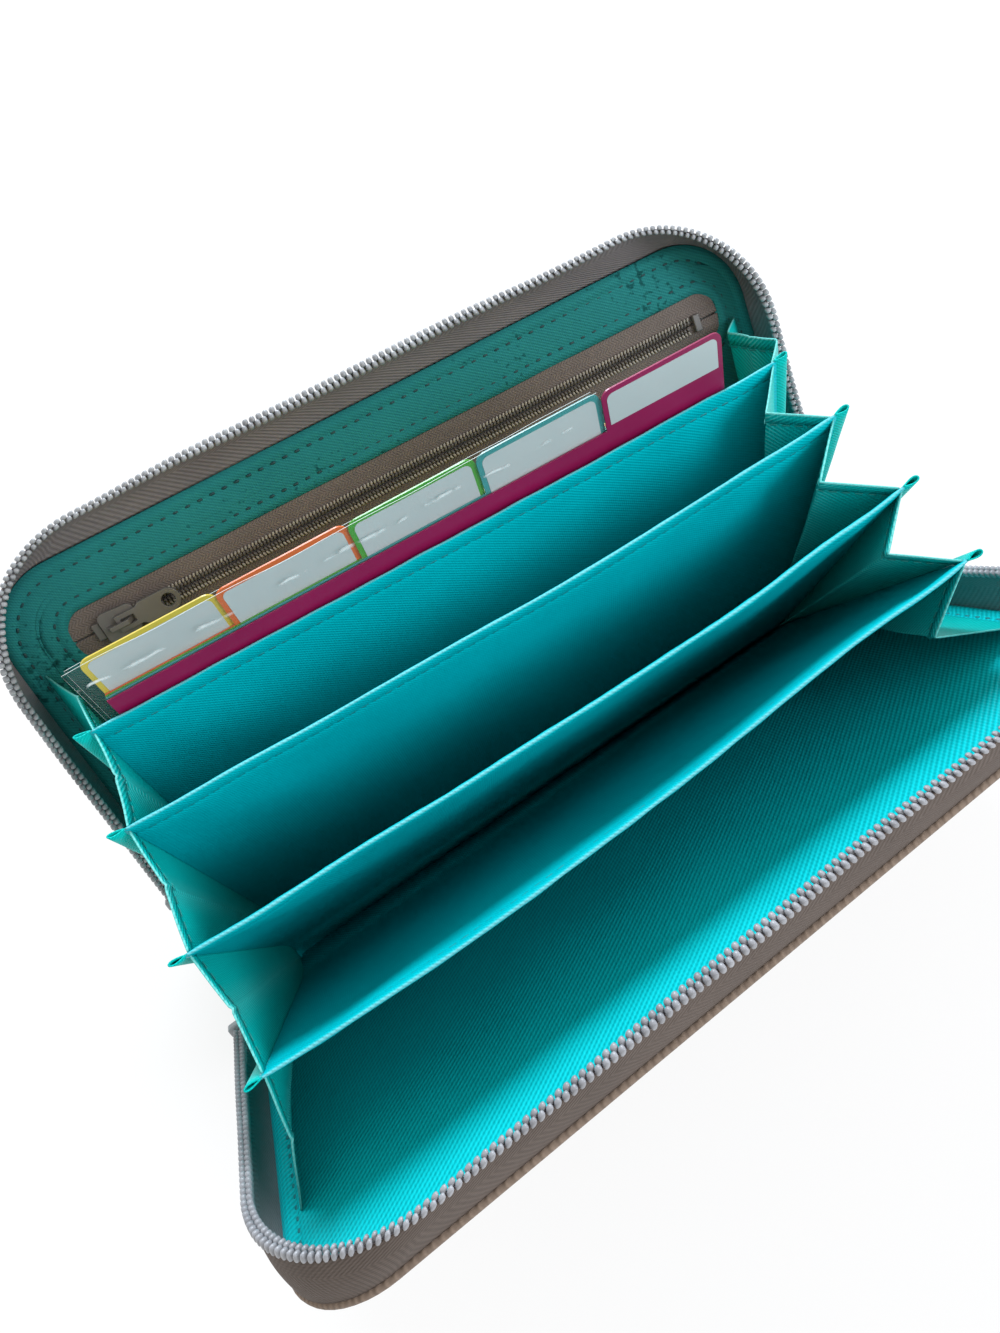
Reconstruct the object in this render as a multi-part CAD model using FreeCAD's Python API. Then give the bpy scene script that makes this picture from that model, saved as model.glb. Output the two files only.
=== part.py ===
"""Zip-around coupon organizer wallet, standing open on its fold.

Sizes are millimetres. +X runs along the fold to the end where the zip starts, +Y points to the
back cover and +Z up. The origin is the middle of the flat face under the fold. Each panel is
drawn upright and closed, in its own frame: x along its fold line, z up the panel and y to the
back. panel_placement() then leans it out to the open pose.
"""
import FreeCAD
import Part
import math
import os

Vec = FreeCAD.Vector

# Covers, as four layers: outer cloth, board, seam layer and lining
cover_width = 200.0
cover_height = 98.5
cover_corner_radius = 20.0
fold_corner_radius = 10.0
least_corner_radius = 1.0
outer_thickness = 0.9
outer_inset = 2.6
outer_bevel = 0.6
board_thickness = 1.0
board_inset = 3.0
seam_thickness = 0.8
lining_thickness = 0.8

# Open pose: the ends of each panel's fold line, as shares of the covers', its lean in degrees, and
# how far it is drawn up its own plane, since the held covers have slipped a little past each other
# Panels run from the back cover over the four dividers to the front cover
fold_height = 5.0
fold_half_left = 19.0
fold_half_right = 5.0
panel_left_shares = (1.0, 0.76, 0.40, -0.10, -0.60, -1.0)
panel_right_shares = (1.0, 0.60, 0.20, -0.20, -0.60, -1.0)
panel_leans = (39.4, 14.5, 2.0, -10.8, -22.3, -39.4)
panel_rises = (2.0, 0.0, 0.0, 0.0, 0.0, -2.0)
back_panel = 0
front_panel = 5

# Clearances
seat_clearance = 0.3
overrun = 2.0

# Cloth strip round the fold, and the lining strip inside it
wrap_thickness = 1.0
wrap_lip_height = 11.0
wrap_round = 2.0
wrap_end_inset = 3.0
spine_lining_thickness = 0.6

# Main zip: tape standing on three sides of each cover, teeth along its free edge
# Along the top the tape relaxes outward, so its free edge stands out past the cover there
tape_inset = 1.0
tape_thickness = 0.8
tape_height = 9.8
tape_flange = 5.0
tape_start = 10.0
tape_splay = 7.5
chain_corner_radius = 34.0
tooth_pitch = 1.6
tooth_length = 0.9
tooth_width = 2.8
tooth_head_width = 2.0
tooth_height = 2.2
stop_length = 2.4
stop_width = 3.4
stop_height = 2.6

# Main zip slider, parked where the zip starts
slider_length = 11.0
slider_mouth_width = 9.6
slider_tail_width = 7.2
slider_plate = 1.0
slider_clearance = 0.5
slider_cheek_width = 1.0
slider_cheek_length = 3.5
slider_post_width = 1.6
slider_post_length = 3.0
bail_length = 7.0
bail_width = 1.2
bail_opening = 1.7
bail_bar = 0.9
pull_length = 14.0
pull_width = 6.0
pull_thickness = 1.0
pull_root_width = 4.2
pull_hole_diameter = 3.2

# Zip pocket in the back lining
pocket_end_margin = 13.0
pocket_window_height = 13.0
pocket_window_radius = 5.0
pocket_zip_drop = 21.0
pocket_zip_shift = 3.0
pocket_bag_margin = 4.0
pocket_bag_base = 18.0
pocket_tape_thickness = 0.6
pocket_coil_gap = 0.4
pocket_tooth_width = 1.9
pocket_tooth_height = 1.4
pocket_stop_length = 1.8
pocket_slider_length = 8.6
pocket_slider_mouth = 8.0
pocket_slider_tail = 6.6
pocket_slider_plate = 0.9
pocket_slider_lip = 0.6
pocket_bail_length = 6.4
pocket_pull_length = 15.0
pocket_pull_width = 5.6

# Dividers and the folded gussets at their ends
divider_side_gap = 18.0
divider_drop = 16.5
divider_thickness = 0.8
divider_hem_height = 7.0
divider_hem_thickness = 1.4
divider_seam = 5.0
divider_foot_gap = 0.6
gusset_thickness = 0.5
gusset_base = 15.0
gusset_base_half = 7.0
gusset_taut_share = 1.005
gusset_back_drop = 8.0
gusset_front_drop = 12.0
gusset_cover_margin = 6.0

# Five tab cards behind the first divider, four of them in a clear sleeve
card_count = 5
card_left_room = 6.5
card_right_room = 12.5
card_base = 10.0
card_rise = 4.0
card_tab_height = 10.0
card_tab_radius = 2.0
card_thickness = 0.4
card_gap = 0.15
sleeve_margin = 3.0
sleeve_hem = 1.0
sleeve_rise = 0.6
sleeve_film = 0.15

# Sizes that follow from those above
cover_thickness = lining_thickness + seam_thickness + board_thickness + outer_thickness
pocket_zip_length = cover_width - 2 * pocket_end_margin
pocket_zip_rise = cover_height - pocket_zip_drop
divider_width = cover_width - 2 * divider_side_gap
divider_height = cover_height - divider_drop
gusset_cover_half = cover_width / 2 - gusset_cover_margin
card_width = divider_width - card_left_room - card_right_room
card_left = card_left_room - divider_width / 2
card_top = divider_height + card_rise


def panel_placement(index):
    """Open pose of a panel: its fold line between the two ends, then its lean about that line."""
    left = fold_half_left * panel_left_shares[index]
    right = fold_half_right * panel_right_shares[index]
    yaw = math.degrees(math.atan2(right - left, cover_width))
    turn = FreeCAD.Rotation(Vec(0, 0, 1), yaw)
    lean = FreeCAD.Rotation(Vec(1, 0, 0), -panel_leans[index])
    turned = turn * lean
    foot = Vec(0, (left + right) / 2, fold_height) + turned.multVec(Vec(0, 0, panel_rises[index]))
    return FreeCAD.Placement(foot, turned)


def save(name, shape, placement=None):
    """Write one node, moved to its place."""
    placed = shape.copy()
    if placement is not None:
        placed.transformShape(placement.toMatrix(), True)
    placed.exportStep(os.path.join("parts", name + ".step"))


def corner_arc(x, z, radius, start):
    """Quarter circle about (x, z) in the XZ plane, from the start angle in degrees."""
    points = []
    for step in (0, 45, 90):
        angle = math.radians(start + step)
        points.append(Vec(x + radius * math.cos(angle), 0, z + radius * math.sin(angle)))
    return Part.Arc(*points).toShape()


def rounded_wire(left, right, base, top, base_radius, top_radius):
    """Closed wire in the XZ plane with rounded corners, counter-clockwise from the base right."""
    arcs = [
        corner_arc(right - base_radius, base + base_radius, base_radius, -90),
        corner_arc(right - top_radius, top - top_radius, top_radius, 0),
        corner_arc(left + top_radius, top - top_radius, top_radius, 90),
        corner_arc(left + base_radius, base + base_radius, base_radius, 180),
    ]
    edges = []
    for arc, following in zip(arcs, arcs[1:] + arcs[:1]):
        edges.append(arc)
        edges.append(Part.LineSegment(arc.lastVertex().Point, following.firstVertex().Point).toShape())
    return Part.Wire(Part.__sortEdges__(edges))


def prism(wire, start, end):
    """Extrude a wire of the XZ plane along y, from start to end."""
    face = Part.Face(wire)
    face.translate(Vec(0, start, 0))
    return face.extrude(Vec(0, end - start, 0))


def slab(x, y, z):
    """Box between two bounds on each axis."""
    low = [min(pair) for pair in (x, y, z)]
    size = [max(pair) - min(pair) for pair in (x, y, z)]
    return Part.makeBox(*size, Vec(*low))


def faceted(loops):
    """Solid with flat faces, each given by its corner points."""
    faces = [Part.Face(Part.makePolygon(loop + loop[:1])) for loop in loops]
    return Part.makeSolid(Part.makeShell(faces))


def cover_wire(inset):
    """Outline of a cover, drawn in by inset: large arcs at the opening edge, small at the fold."""
    half = cover_width / 2 - inset
    small = max(fold_corner_radius - inset, least_corner_radius)
    large = max(cover_corner_radius - inset, least_corner_radius)
    return rounded_wire(-half, half, inset, cover_height - inset, small, large)


def chain_wire(inset):
    """Outline of a tape's free edge, drawn in by inset: the cover's, with its top edge splayed out."""
    half = cover_width / 2 - inset
    small = max(fold_corner_radius - inset, least_corner_radius)
    large = max(chain_corner_radius - inset, least_corner_radius)
    return rounded_wire(-half, half, inset, cover_height + tape_splay - inset, small, large)


def cover_layer(side, inset, start, end):
    """One flat layer of a cover; depths count outward from the lining's inner face."""
    return prism(cover_wire(inset), side * start, side * end)


def tape_block(side, inset):
    """Solid from the cover's seam out to the tape's free edge, drawn in by inset."""
    base = cover_wire(inset)
    base.translate(Vec(0, side * (lining_thickness + seam_thickness), 0))
    free = chain_wire(inset)
    free.translate(Vec(0, -side * tape_height, 0))
    return Part.makeLoft([base, free], True, True)


def zip_tape(side):
    """Tape with a flange sewn in the seam layer and a wall standing on the cover's rim."""
    seam_back = lining_thickness + seam_thickness
    wall = tape_block(side, tape_inset).cut(tape_block(side, tape_inset + tape_thickness))
    flange = cover_layer(side, tape_inset + tape_thickness / 4, lining_thickness, seam_back)
    opening = cover_layer(side, tape_inset + tape_flange, -overrun, seam_back + overrun)
    tape = wall.fuse(flange.cut(opening)).removeSplitter()
    reach = cover_width
    foot = slab((-reach, reach), (-reach, reach), (-overrun, tape_start))
    return tape.cut(foot)


def chain_stations():
    """Place and heading of each tooth on the tape's free edge, from the left foot to the right."""
    inset = tape_inset + tape_thickness / 2
    half = cover_width / 2 - inset
    top = cover_height + tape_splay - inset
    radius = chain_corner_radius - inset
    rise = top - radius - tape_start
    arc = math.pi / 2 * radius
    run = 2 * (half - radius)
    total = 2 * (rise + arc) + run
    first = stop_length + seat_clearance
    count = int((total - first) // tooth_pitch)
    for index in range(count):
        along = first + (index + 0.5) * tooth_pitch
        if along < rise:
            yield -half, tape_start + along, 90.0
        elif along < rise + arc:
            turned = (along - rise) / radius
            x = -half + radius - radius * math.cos(turned)
            yield x, top - radius + radius * math.sin(turned), 90.0 - math.degrees(turned)
        elif along < rise + arc + run:
            yield -half + radius + along - rise - arc, top, 0.0
        elif along < rise + 2 * arc + run:
            turned = (along - rise - arc - run) / radius
            x = half - radius + radius * math.sin(turned)
            yield x, top - radius + radius * math.cos(turned), -math.degrees(turned)
        else:
            yield half, top - radius - (along - rise - 2 * arc - run), -90.0


def tooth(length, width, head_width, height):
    """Wedge-shaped tooth on y = 0, narrowing along -y, with its length along x."""
    outline = [
        Vec(-length / 2, 0, -width / 2),
        Vec(-length / 2, 0, width / 2),
        Vec(-length / 2, -height, head_width / 2),
        Vec(-length / 2, -height, -head_width / 2),
    ]
    return Part.Face(Part.makePolygon(outline + outline[:1])).extrude(Vec(length, 0, 0))


def zip_teeth(side):
    """Teeth patterned along the tape's free edge, pointing at the other cover."""
    master = tooth(tooth_length, tooth_width, tooth_head_width, side * tooth_height)
    teeth = []
    for x, z, heading in chain_stations():
        copy = master.copy()
        turn = FreeCAD.Rotation(Vec(0, 1, 0), -heading)
        copy.Placement = FreeCAD.Placement(Vec(x, -side * tape_height, z), turn)
        teeth.append(copy)
    return Part.makeCompound(teeth)


def zip_stop(side):
    """Clip on the left end of the tape's free edge, where the zip ends."""
    x = -cover_width / 2 + tape_inset + tape_thickness / 2
    edge = -side * tape_height
    clip = slab(
        (x - stop_width / 2, x + stop_width / 2),
        (edge, edge - side * stop_height),
        (tape_start, tape_start + stop_length),
    )
    upright = [edge_ for edge_ in clip.Edges if abs(edge_.tangentAt(edge_.FirstParameter).z) > 0.5]
    return clip.makeFillet(stop_length / 4, upright)


def fold_half(x):
    """Half the distance between the covers' fold lines at a place along the fold."""
    slope = (fold_half_right - fold_half_left) / cover_width
    return (fold_half_left + fold_half_right) / 2 + slope * x


def spine_section(x):
    """Trough section at one end: flat below, its lips along the covers' outer faces."""
    half = fold_half(x)
    outer, inner = [], []
    for panel, sign in ((back_panel, 1), (front_panel, -1)):
        lean = math.radians(abs(panel_leans[panel]))

        def offset(z, depth):
            return sign * (half + (z - fold_height) * math.tan(lean) + depth / math.cos(lean))

        near = cover_thickness + seat_clearance
        far = near + wrap_thickness
        outer.append((Vec(x, offset(0, far), 0), Vec(x, offset(wrap_lip_height, far), wrap_lip_height)))
        inner.append((Vec(x, offset(wrap_thickness, near), wrap_thickness),
                      Vec(x, offset(wrap_lip_height, near), wrap_lip_height)))
    back_out, front_out = outer
    back_in, front_in = inner
    return [front_out[0], back_out[0], back_out[1], back_in[1], back_in[0],
            front_in[0], front_in[1], front_out[1]]


def spine_wrap():
    """Cloth round the fold: a trough, wide at the left end and narrow where the zip starts."""
    reach = cover_width / 2 - wrap_end_inset
    left = spine_section(-reach)
    right = spine_section(reach)
    loops = [left, right]
    for index in range(len(left)):
        after = (index + 1) % len(left)
        loops.append([left[index], left[after], right[after], right[index]])
    trough = faceted(loops)
    keel = []
    for edge in trough.Edges:
        flat = all(abs(vertex.Z) < seat_clearance for vertex in edge.Vertexes)
        if flat and edge.Length > cover_width / 2:
            keel.append(edge)
    return trough.makeFillet(wrap_round, keel)


def spine_lining():
    """Lining strip on the trough's floor, under the pockets."""
    near = cover_thickness + seat_clearance
    lean = math.radians(panel_leans[back_panel])
    side_shift = (wrap_thickness - fold_height) * math.tan(lean) + near / math.cos(lean) - seat_clearance
    length = cover_width / 2 - fold_corner_radius
    points = []
    for x, sign in ((-length, -1), (length, -1), (length, 1), (-length, 1)):
        points.append(Vec(x, sign * (fold_half(x) + side_shift), wrap_thickness))
    sheet = Part.Face(Part.makePolygon(points + points[:1]))
    return sheet.extrude(Vec(0, 0, spine_lining_thickness))


def pocket_window(inset, start, end):
    """Slot of the zip pocket, drawn in by inset, as a prism between two depths."""
    half = pocket_zip_length / 2 - inset
    radius = max(pocket_window_radius - inset, least_corner_radius)
    base = pocket_zip_rise - pocket_window_height / 2 + inset
    top = pocket_zip_rise + pocket_window_height / 2 - inset
    wire = rounded_wire(pocket_zip_shift - half, pocket_zip_shift + half, base, top, radius, radius)
    return prism(wire, start, end)


def pocket_bag():
    """Flat bag of the zip pocket, between the lining and the board."""
    half = pocket_zip_length / 2 + pocket_bag_margin
    top = pocket_zip_rise + pocket_window_height / 2 + pocket_bag_margin
    wire = rounded_wire(pocket_zip_shift - half, pocket_zip_shift + half, pocket_bag_base, top,
                        pocket_window_radius, pocket_window_radius)
    bag = prism(wire, lining_thickness, lining_thickness + seam_thickness)
    room = cover_layer(1, tape_inset + tape_flange + seat_clearance, 0, cover_thickness)
    return bag.common(room)


def pocket_tape(sign):
    """Upper (sign 1) or lower (sign -1) half of the pocket's zip tape, inside the window."""
    face = lining_thickness - pocket_tape_thickness
    whole = pocket_window(seat_clearance, face, lining_thickness)
    reach = cover_width
    edge = pocket_zip_rise + sign * pocket_coil_gap / 2
    far = pocket_zip_rise + sign * pocket_window_height
    return whole.common(slab((-reach, reach), (-reach, reach), (edge, far)))


def pocket_teeth(sign):
    """Row of coil teeth on one half of the pocket's tape, set half a pitch from the other row."""
    face = lining_thickness - pocket_tape_thickness
    room = pocket_zip_length - 2 * (pocket_window_radius + pocket_stop_length)
    count = int(room // tooth_pitch) - 1
    master = tooth(tooth_length, pocket_tooth_width, pocket_tooth_width, pocket_tooth_height)
    z = pocket_zip_rise + sign * (pocket_coil_gap + pocket_tooth_width) / 2
    teeth = []
    for index in range(count):
        along = (index - (count - 1) / 2) * tooth_pitch + sign * tooth_pitch / 4
        copy = master.copy()
        copy.translate(Vec(pocket_zip_shift + along, face, z))
        teeth.append(copy)
    return Part.makeCompound(teeth)


def pocket_stops():
    """Bars clamped across both coil rows at the two ends of the pocket's zip."""
    face = lining_thickness - pocket_tape_thickness
    reach = pocket_zip_length / 2 - pocket_window_radius
    half = pocket_coil_gap / 2 + pocket_tooth_width
    bars = []
    for sign in (-1, 1):
        start = pocket_zip_shift + sign * reach
        bars.append(slab((start, start - sign * pocket_stop_length),
                         (face, face - pocket_tooth_height),
                         (pocket_zip_rise - half, pocket_zip_rise + half)))
    return Part.makeCompound(bars)


def plate(length, tail, mouth, base, top):
    """Slider plate along x, wider at its mouth, with rounded corners, between two heights."""
    points = [Vec(0, -tail / 2, base), Vec(length, -mouth / 2, base),
              Vec(length, mouth / 2, base), Vec(0, tail / 2, base)]
    body = Part.Face(Part.makePolygon(points + points[:1])).extrude(Vec(0, 0, top - base))
    upright = []
    for edge in body.Edges:
        if abs(edge.Vertexes[0].Z - edge.Vertexes[-1].Z) > abs(top - base) / 2:
            upright.append(edge)
    return body.makeFillet(tail / 4, upright)


def bail(centre, length, width, base, opening, bar):
    """Arch on a slider plate: two sloped legs and a bar, with an opening for the pull."""
    half = length / 2
    height = opening + bar
    outline = [Vec(centre - half, 0, base), Vec(centre + half, 0, base),
               Vec(centre + half - bar, 0, base + height), Vec(centre - half + bar, 0, base + height)]
    inner = half - bar
    window = [Vec(centre - inner, 0, base), Vec(centre + inner, 0, base),
              Vec(centre + inner - bar, 0, base + opening), Vec(centre - inner + bar, 0, base + opening)]
    arch = Part.Face(Part.makePolygon(outline + outline[:1]))
    hole = Part.Face(Part.makePolygon(window + window[:1]))
    solid = arch.cut(hole).extrude(Vec(0, width, 0))
    solid.translate(Vec(0, -width / 2, 0))
    return solid


def pull_tab(length, width, root, thickness, arch_length, arch_width, hole):
    """Flat pull along x from its hinge bar at the origin: an eye for the arch, then a holed tab."""
    bar = thickness
    eye_end = arch_length / 2 + 2 * seat_clearance
    eye_half = arch_width / 2 + seat_clearance
    tip = length - width / 2
    swell = eye_end + bar
    outer = [Vec(-bar / 2, -root / 2, 0), Vec(swell, -root / 2, 0),
             Vec(swell + bar, -width / 2, 0), Vec(tip, -width / 2, 0)]
    edges = [Part.LineSegment(a, b).toShape() for a, b in zip(outer, outer[1:])]
    edges.append(Part.Arc(Vec(tip, -width / 2, 0), Vec(length, 0, 0), Vec(tip, width / 2, 0)).toShape())
    mirrored = [Vec(point.x, -point.y, 0) for point in reversed(outer)]
    edges += [Part.LineSegment(a, b).toShape() for a, b in zip(mirrored, mirrored[1:])]
    edges.append(Part.LineSegment(mirrored[-1], outer[0]).toShape())
    face = Part.Face(Part.Wire(edges))
    tab = face.extrude(Vec(0, 0, thickness))
    eye = slab((bar / 2, eye_end), (-eye_half, eye_half), (-overrun, thickness + overrun))
    drill = Part.makeCylinder(hole / 2, thickness + 2 * overrun, Vec(tip, 0, -overrun))
    tab = tab.cut(eye).cut(drill)
    tab.translate(Vec(0, 0, -thickness / 2))
    return tab


def main_slider():
    """Two plates round the chain, cheeks at the tail, the splitting post at the mouth and the arch."""
    inner = tooth_width / 2 + slider_clearance
    outer = inner + slider_plate
    solid = plate(slider_length, slider_tail_width, slider_mouth_width, inner, outer)
    solid = solid.fuse(plate(slider_length, slider_tail_width, slider_mouth_width, -outer, -inner))
    for sign in (-1, 1):
        edge = sign * slider_tail_width / 2
        cheek = slab((slider_tail_width / 4, slider_cheek_length), (edge, edge - sign * slider_cheek_width),
                     (-inner - slider_plate / 2, inner + slider_plate / 2))
        solid = solid.fuse(cheek)
    post = slab((slider_length - slider_post_length, slider_length),
                (-slider_post_width / 2, slider_post_width / 2),
                (-inner - slider_plate / 2, inner + slider_plate / 2))
    arch = bail(slider_length / 2, bail_length, bail_width, outer, bail_opening, bail_bar)
    return solid.fuse(post).fuse(arch).removeSplitter()


def main_slider_placement():
    """Tail down at the right end, just under the lowest place that the ends of the teeth reach."""
    x = cover_width / 2 - tape_inset - tape_thickness / 2
    z = fold_height + tape_start + min(panel_rises) - slider_cheek_length - 3 * seat_clearance
    turn = FreeCAD.Rotation(Vec(0, 0, 1), Vec(0, -1, 0), Vec(1, 0, 0), "XYZ")
    return FreeCAD.Placement(Vec(x, 0, z), turn)


def main_pull():
    """Pull of the main slider, hanging tail-ward from the arch."""
    tab = pull_tab(pull_length, pull_width, pull_root_width, pull_thickness,
                   bail_length, bail_width, pull_hole_diameter)
    tab.rotate(Vec(0, 0, 0), Vec(0, 0, 1), 180)
    rise = tooth_width / 2 + slider_clearance + slider_plate + seat_clearance + pull_thickness / 2
    tab.translate(Vec(slider_length / 2, 0, rise))
    return tab


def pocket_slider():
    """Plate over the two coil rows with a lip along each side, and the arch."""
    lift = pocket_tooth_height + seat_clearance
    top = lift + pocket_slider_plate
    solid = plate(pocket_slider_length, pocket_slider_tail, pocket_slider_mouth, lift, top)
    half = pocket_coil_gap / 2 + pocket_tooth_width + seat_clearance
    inset = pocket_slider_tail / 4
    for sign in (-1, 1):
        lip = slab((inset, pocket_slider_length - inset), (sign * half, sign * (half + pocket_slider_lip)),
                   (seat_clearance, lift + pocket_slider_plate / 2))
        solid = solid.fuse(lip)
    arch = bail(pocket_slider_length / 2, pocket_bail_length, bail_width, top, bail_opening, bail_bar)
    return solid.fuse(arch).removeSplitter()


def pocket_slider_placement():
    """At the left end of the pocket's zip, its mouth toward the left stop."""
    face = lining_thickness - pocket_tape_thickness
    start = pocket_zip_shift - pocket_zip_length / 2 + pocket_window_radius
    x = start + pocket_stop_length + seat_clearance + pocket_slider_length
    turn = FreeCAD.Rotation(Vec(-1, 0, 0), Vec(0, 0, -1), Vec(0, -1, 0), "XYZ")
    return FreeCAD.Placement(Vec(x, face, pocket_zip_rise), turn)


def pocket_pull():
    """Pull of the pocket's slider, lying along the zip."""
    tab = pull_tab(pocket_pull_length, pocket_pull_width, pull_root_width, pull_thickness,
                   pocket_bail_length, bail_width, pull_hole_diameter)
    tab.rotate(Vec(0, 0, 0), Vec(0, 0, 1), 180)
    rise = pocket_tooth_height + seat_clearance + pocket_slider_plate + seat_clearance + pull_thickness / 2
    tab.translate(Vec(pocket_slider_length / 2, 0, rise))
    return tab


def divider():
    """Cloth panel with a thicker turned hem along its top and a seam strip past each gusset."""
    half = divider_width / 2 + divider_seam
    foot = wrap_thickness + spine_lining_thickness + divider_foot_gap - fold_height
    hem = divider_height - divider_hem_height
    thin = divider_thickness / 2
    thick = divider_hem_thickness / 2
    outline = [Vec(-half, -thin, foot), Vec(-half, thin, foot), Vec(-half, thin, hem),
               Vec(-half, thick, hem), Vec(-half, thick, divider_height),
               Vec(-half, -thick, divider_height), Vec(-half, -thick, hem), Vec(-half, -thin, hem)]
    return Part.Face(Part.makePolygon(outline + outline[:1])).extrude(Vec(2 * half, 0, 0))


def panel_point(panel, facing, side, rise):
    """Where a gusset's edge meets a panel: on the face that looks along facing, at one end."""
    reach = seat_clearance + gusset_thickness / 2
    if panel in (back_panel, front_panel):
        local = Vec(side * gusset_cover_half, facing * reach, rise)
    else:
        local = Vec(side * divider_width / 2, facing * (reach + divider_hem_thickness / 2), rise)
    return panel_placement(panel).multVec(local)


def fold_section(back, front, side, half_width):
    """V-shaped section of a gusset: from the rear panel in to the crease and out to the front one."""
    span = (front - back).Length / 2
    depth = math.sqrt(max(half_width ** 2 - span ** 2, gusset_thickness ** 2))
    inward = Vec(-side, 0, 0)
    crease = (back + front) / 2 + inward * depth
    shift = inward * (gusset_thickness / 2 * math.hypot(span, depth) / span)
    return [back + shift, crease + shift, front + shift, front - shift, crease - shift, back - shift]


def gusset_half_width(pocket):
    """Half the cut width at the top: just taut across the left end, which stops the opening."""
    back, front = gusset_tops(pocket, -1)
    return gusset_taut_share * (front - back).Length / 2


def gusset_rise(panel):
    """Height up a panel to which the gussets are sewn."""
    if panel == back_panel:
        return divider_height - gusset_back_drop
    if panel == front_panel:
        return divider_height - gusset_front_drop
    return divider_height


def gusset_tops(pocket, side):
    """Top ends of a pocket's gusset on the panel behind it and on the panel before it."""
    back = panel_point(pocket - 1, -1, side, gusset_rise(pocket - 1))
    front = panel_point(pocket, 1, side, gusset_rise(pocket))
    return back, front


def gusset(pocket, side):
    """Folded end wall of one pocket: flat triangles between its foot and top sections."""
    back = panel_point(pocket - 1, -1, side, gusset_base)
    front = panel_point(pocket, 1, side, gusset_base)
    foot = fold_section(back, front, side, gusset_base_half)
    back, front = gusset_tops(pocket, side)
    top = fold_section(back, front, side, gusset_half_width(pocket))
    loops = [foot, top]
    for index in range(len(foot)):
        after = (index + 1) % len(foot)
        if index < len(foot) / 2:
            loops.append([foot[index], foot[after], top[after]])
            loops.append([foot[index], top[after], top[index]])
        else:
            loops.append([foot[index], foot[after], top[index]])
            loops.append([foot[after], top[after], top[index]])
    return faceted(loops)


def card_depth(index):
    """Distance of a card's front face behind the first divider; the last card stands in front."""
    first = divider_hem_thickness / 2 + seat_clearance
    if index == card_count:
        return first
    inside = first + card_thickness + card_gap + sleeve_film + card_gap
    return inside + (card_count - 1 - index) * (card_thickness + card_gap)


def card(index):
    """Tab card: a plain sheet with one fifth of its top edge raised as a rounded tab."""
    tab = card_width / card_count
    start = card_left + (index - 1) * tab
    sheet = slab((card_left, card_left + card_width), (0, card_thickness), (card_base, card_top))
    wire = rounded_wire(start, start + tab, card_base, card_top + card_tab_height,
                        least_corner_radius, card_tab_radius)
    body = sheet.fuse(prism(wire, 0, card_thickness)).removeSplitter()
    body.translate(Vec(0, card_depth(index), 0))
    return body


def card_sleeve():
    """Clear film folded under the four rear cards, open at the top."""
    left = card_left - sleeve_margin
    right = card_left + card_width + sleeve_margin
    base = card_base - sleeve_hem
    top = card_top + card_tab_height + sleeve_rise
    front = card_depth(card_count - 1) - card_gap - sleeve_film
    back = card_depth(1) + card_thickness + card_gap + sleeve_film
    film = slab((left, right), (front, back), (base, top))
    room = slab((left - overrun, right + overrun), (front + sleeve_film, back - sleeve_film),
                (base + sleeve_film, top + overrun))
    return film.cut(room)


def build_cover(name, side, panel):
    """Layers, tape, teeth and stop of one cover."""
    place = panel_placement(panel)
    seam_back = lining_thickness + seam_thickness
    board_back = seam_back + board_thickness
    lining_inset = tape_inset + tape_thickness + seat_clearance
    lining = cover_layer(side, lining_inset, 0, lining_thickness)
    if panel == back_panel:
        lining = lining.cut(pocket_window(0, -overrun, lining_thickness + overrun))
    else:
        inset = tape_inset + tape_flange + seat_clearance
        save(name + "_padding", cover_layer(side, inset, lining_thickness, seam_back), place)
    outer = cover_layer(side, outer_inset, board_back, cover_thickness)
    far = side * (cover_thickness - outer_bevel / 2)
    rim = [edge for edge in outer.Edges if all(side * (vertex.Y - far) > 0 for vertex in edge.Vertexes)]
    save(name + "_outer", outer.makeChamfer(outer_bevel, rim), place)
    save(name + "_board", cover_layer(side, board_inset, seam_back, board_back), place)
    save(name + "_lining", lining, place)
    save(name + "_zip_tape", zip_tape(side), place)
    save(name + "_zip_teeth", zip_teeth(side), place)
    save(name + "_zip_stop", zip_stop(side), place)


def main():
    os.makedirs("parts", exist_ok=True)
    save("spine_wrap", spine_wrap())
    save("spine_lining", spine_lining())
    build_cover("back", 1, back_panel)
    build_cover("front", -1, front_panel)

    back = panel_placement(back_panel)
    save("pocket_bag", pocket_bag(), back)
    save("pocket_zip_tape_upper", pocket_tape(1), back)
    save("pocket_zip_tape_lower", pocket_tape(-1), back)
    save("pocket_zip_coil_upper", pocket_teeth(1), back)
    save("pocket_zip_coil_lower", pocket_teeth(-1), back)
    save("pocket_zip_stops", pocket_stops(), back)
    save("pocket_slider", pocket_slider(), back * pocket_slider_placement())
    save("pocket_pull", pocket_pull(), back * pocket_slider_placement())
    save("main_slider", main_slider(), main_slider_placement())
    save("main_pull", main_pull(), main_slider_placement())

    for index in range(back_panel + 1, front_panel):
        save("divider_%d" % index, divider(), panel_placement(index))
    for pocket in range(back_panel + 1, front_panel + 1):
        save("gusset_left_%d" % pocket, gusset(pocket, -1))
        save("gusset_right_%d" % pocket, gusset(pocket, 1))

    first = panel_placement(back_panel + 1)
    for index in range(1, card_count + 1):
        save("card_%d" % index, card(index), first)
    save("card_sleeve", card_sleeve(), first)


main()
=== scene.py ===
"""Looks of a zip-around coupon organizer wallet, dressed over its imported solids.

Sizes are in metres where nothing else is said, in the frame of the solids: +X along the fold to the end
where the zip starts, +Y to the back cover and +Z up. A panel's own frame has x along its fold line, z up
the panel and y to the back, and place() leans it out to the open pose.
"""
import math

import bmesh
import bpy
import numpy as np
from bpy.props import FloatProperty, FloatVectorProperty, PointerProperty
from mathutils import Matrix


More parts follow.
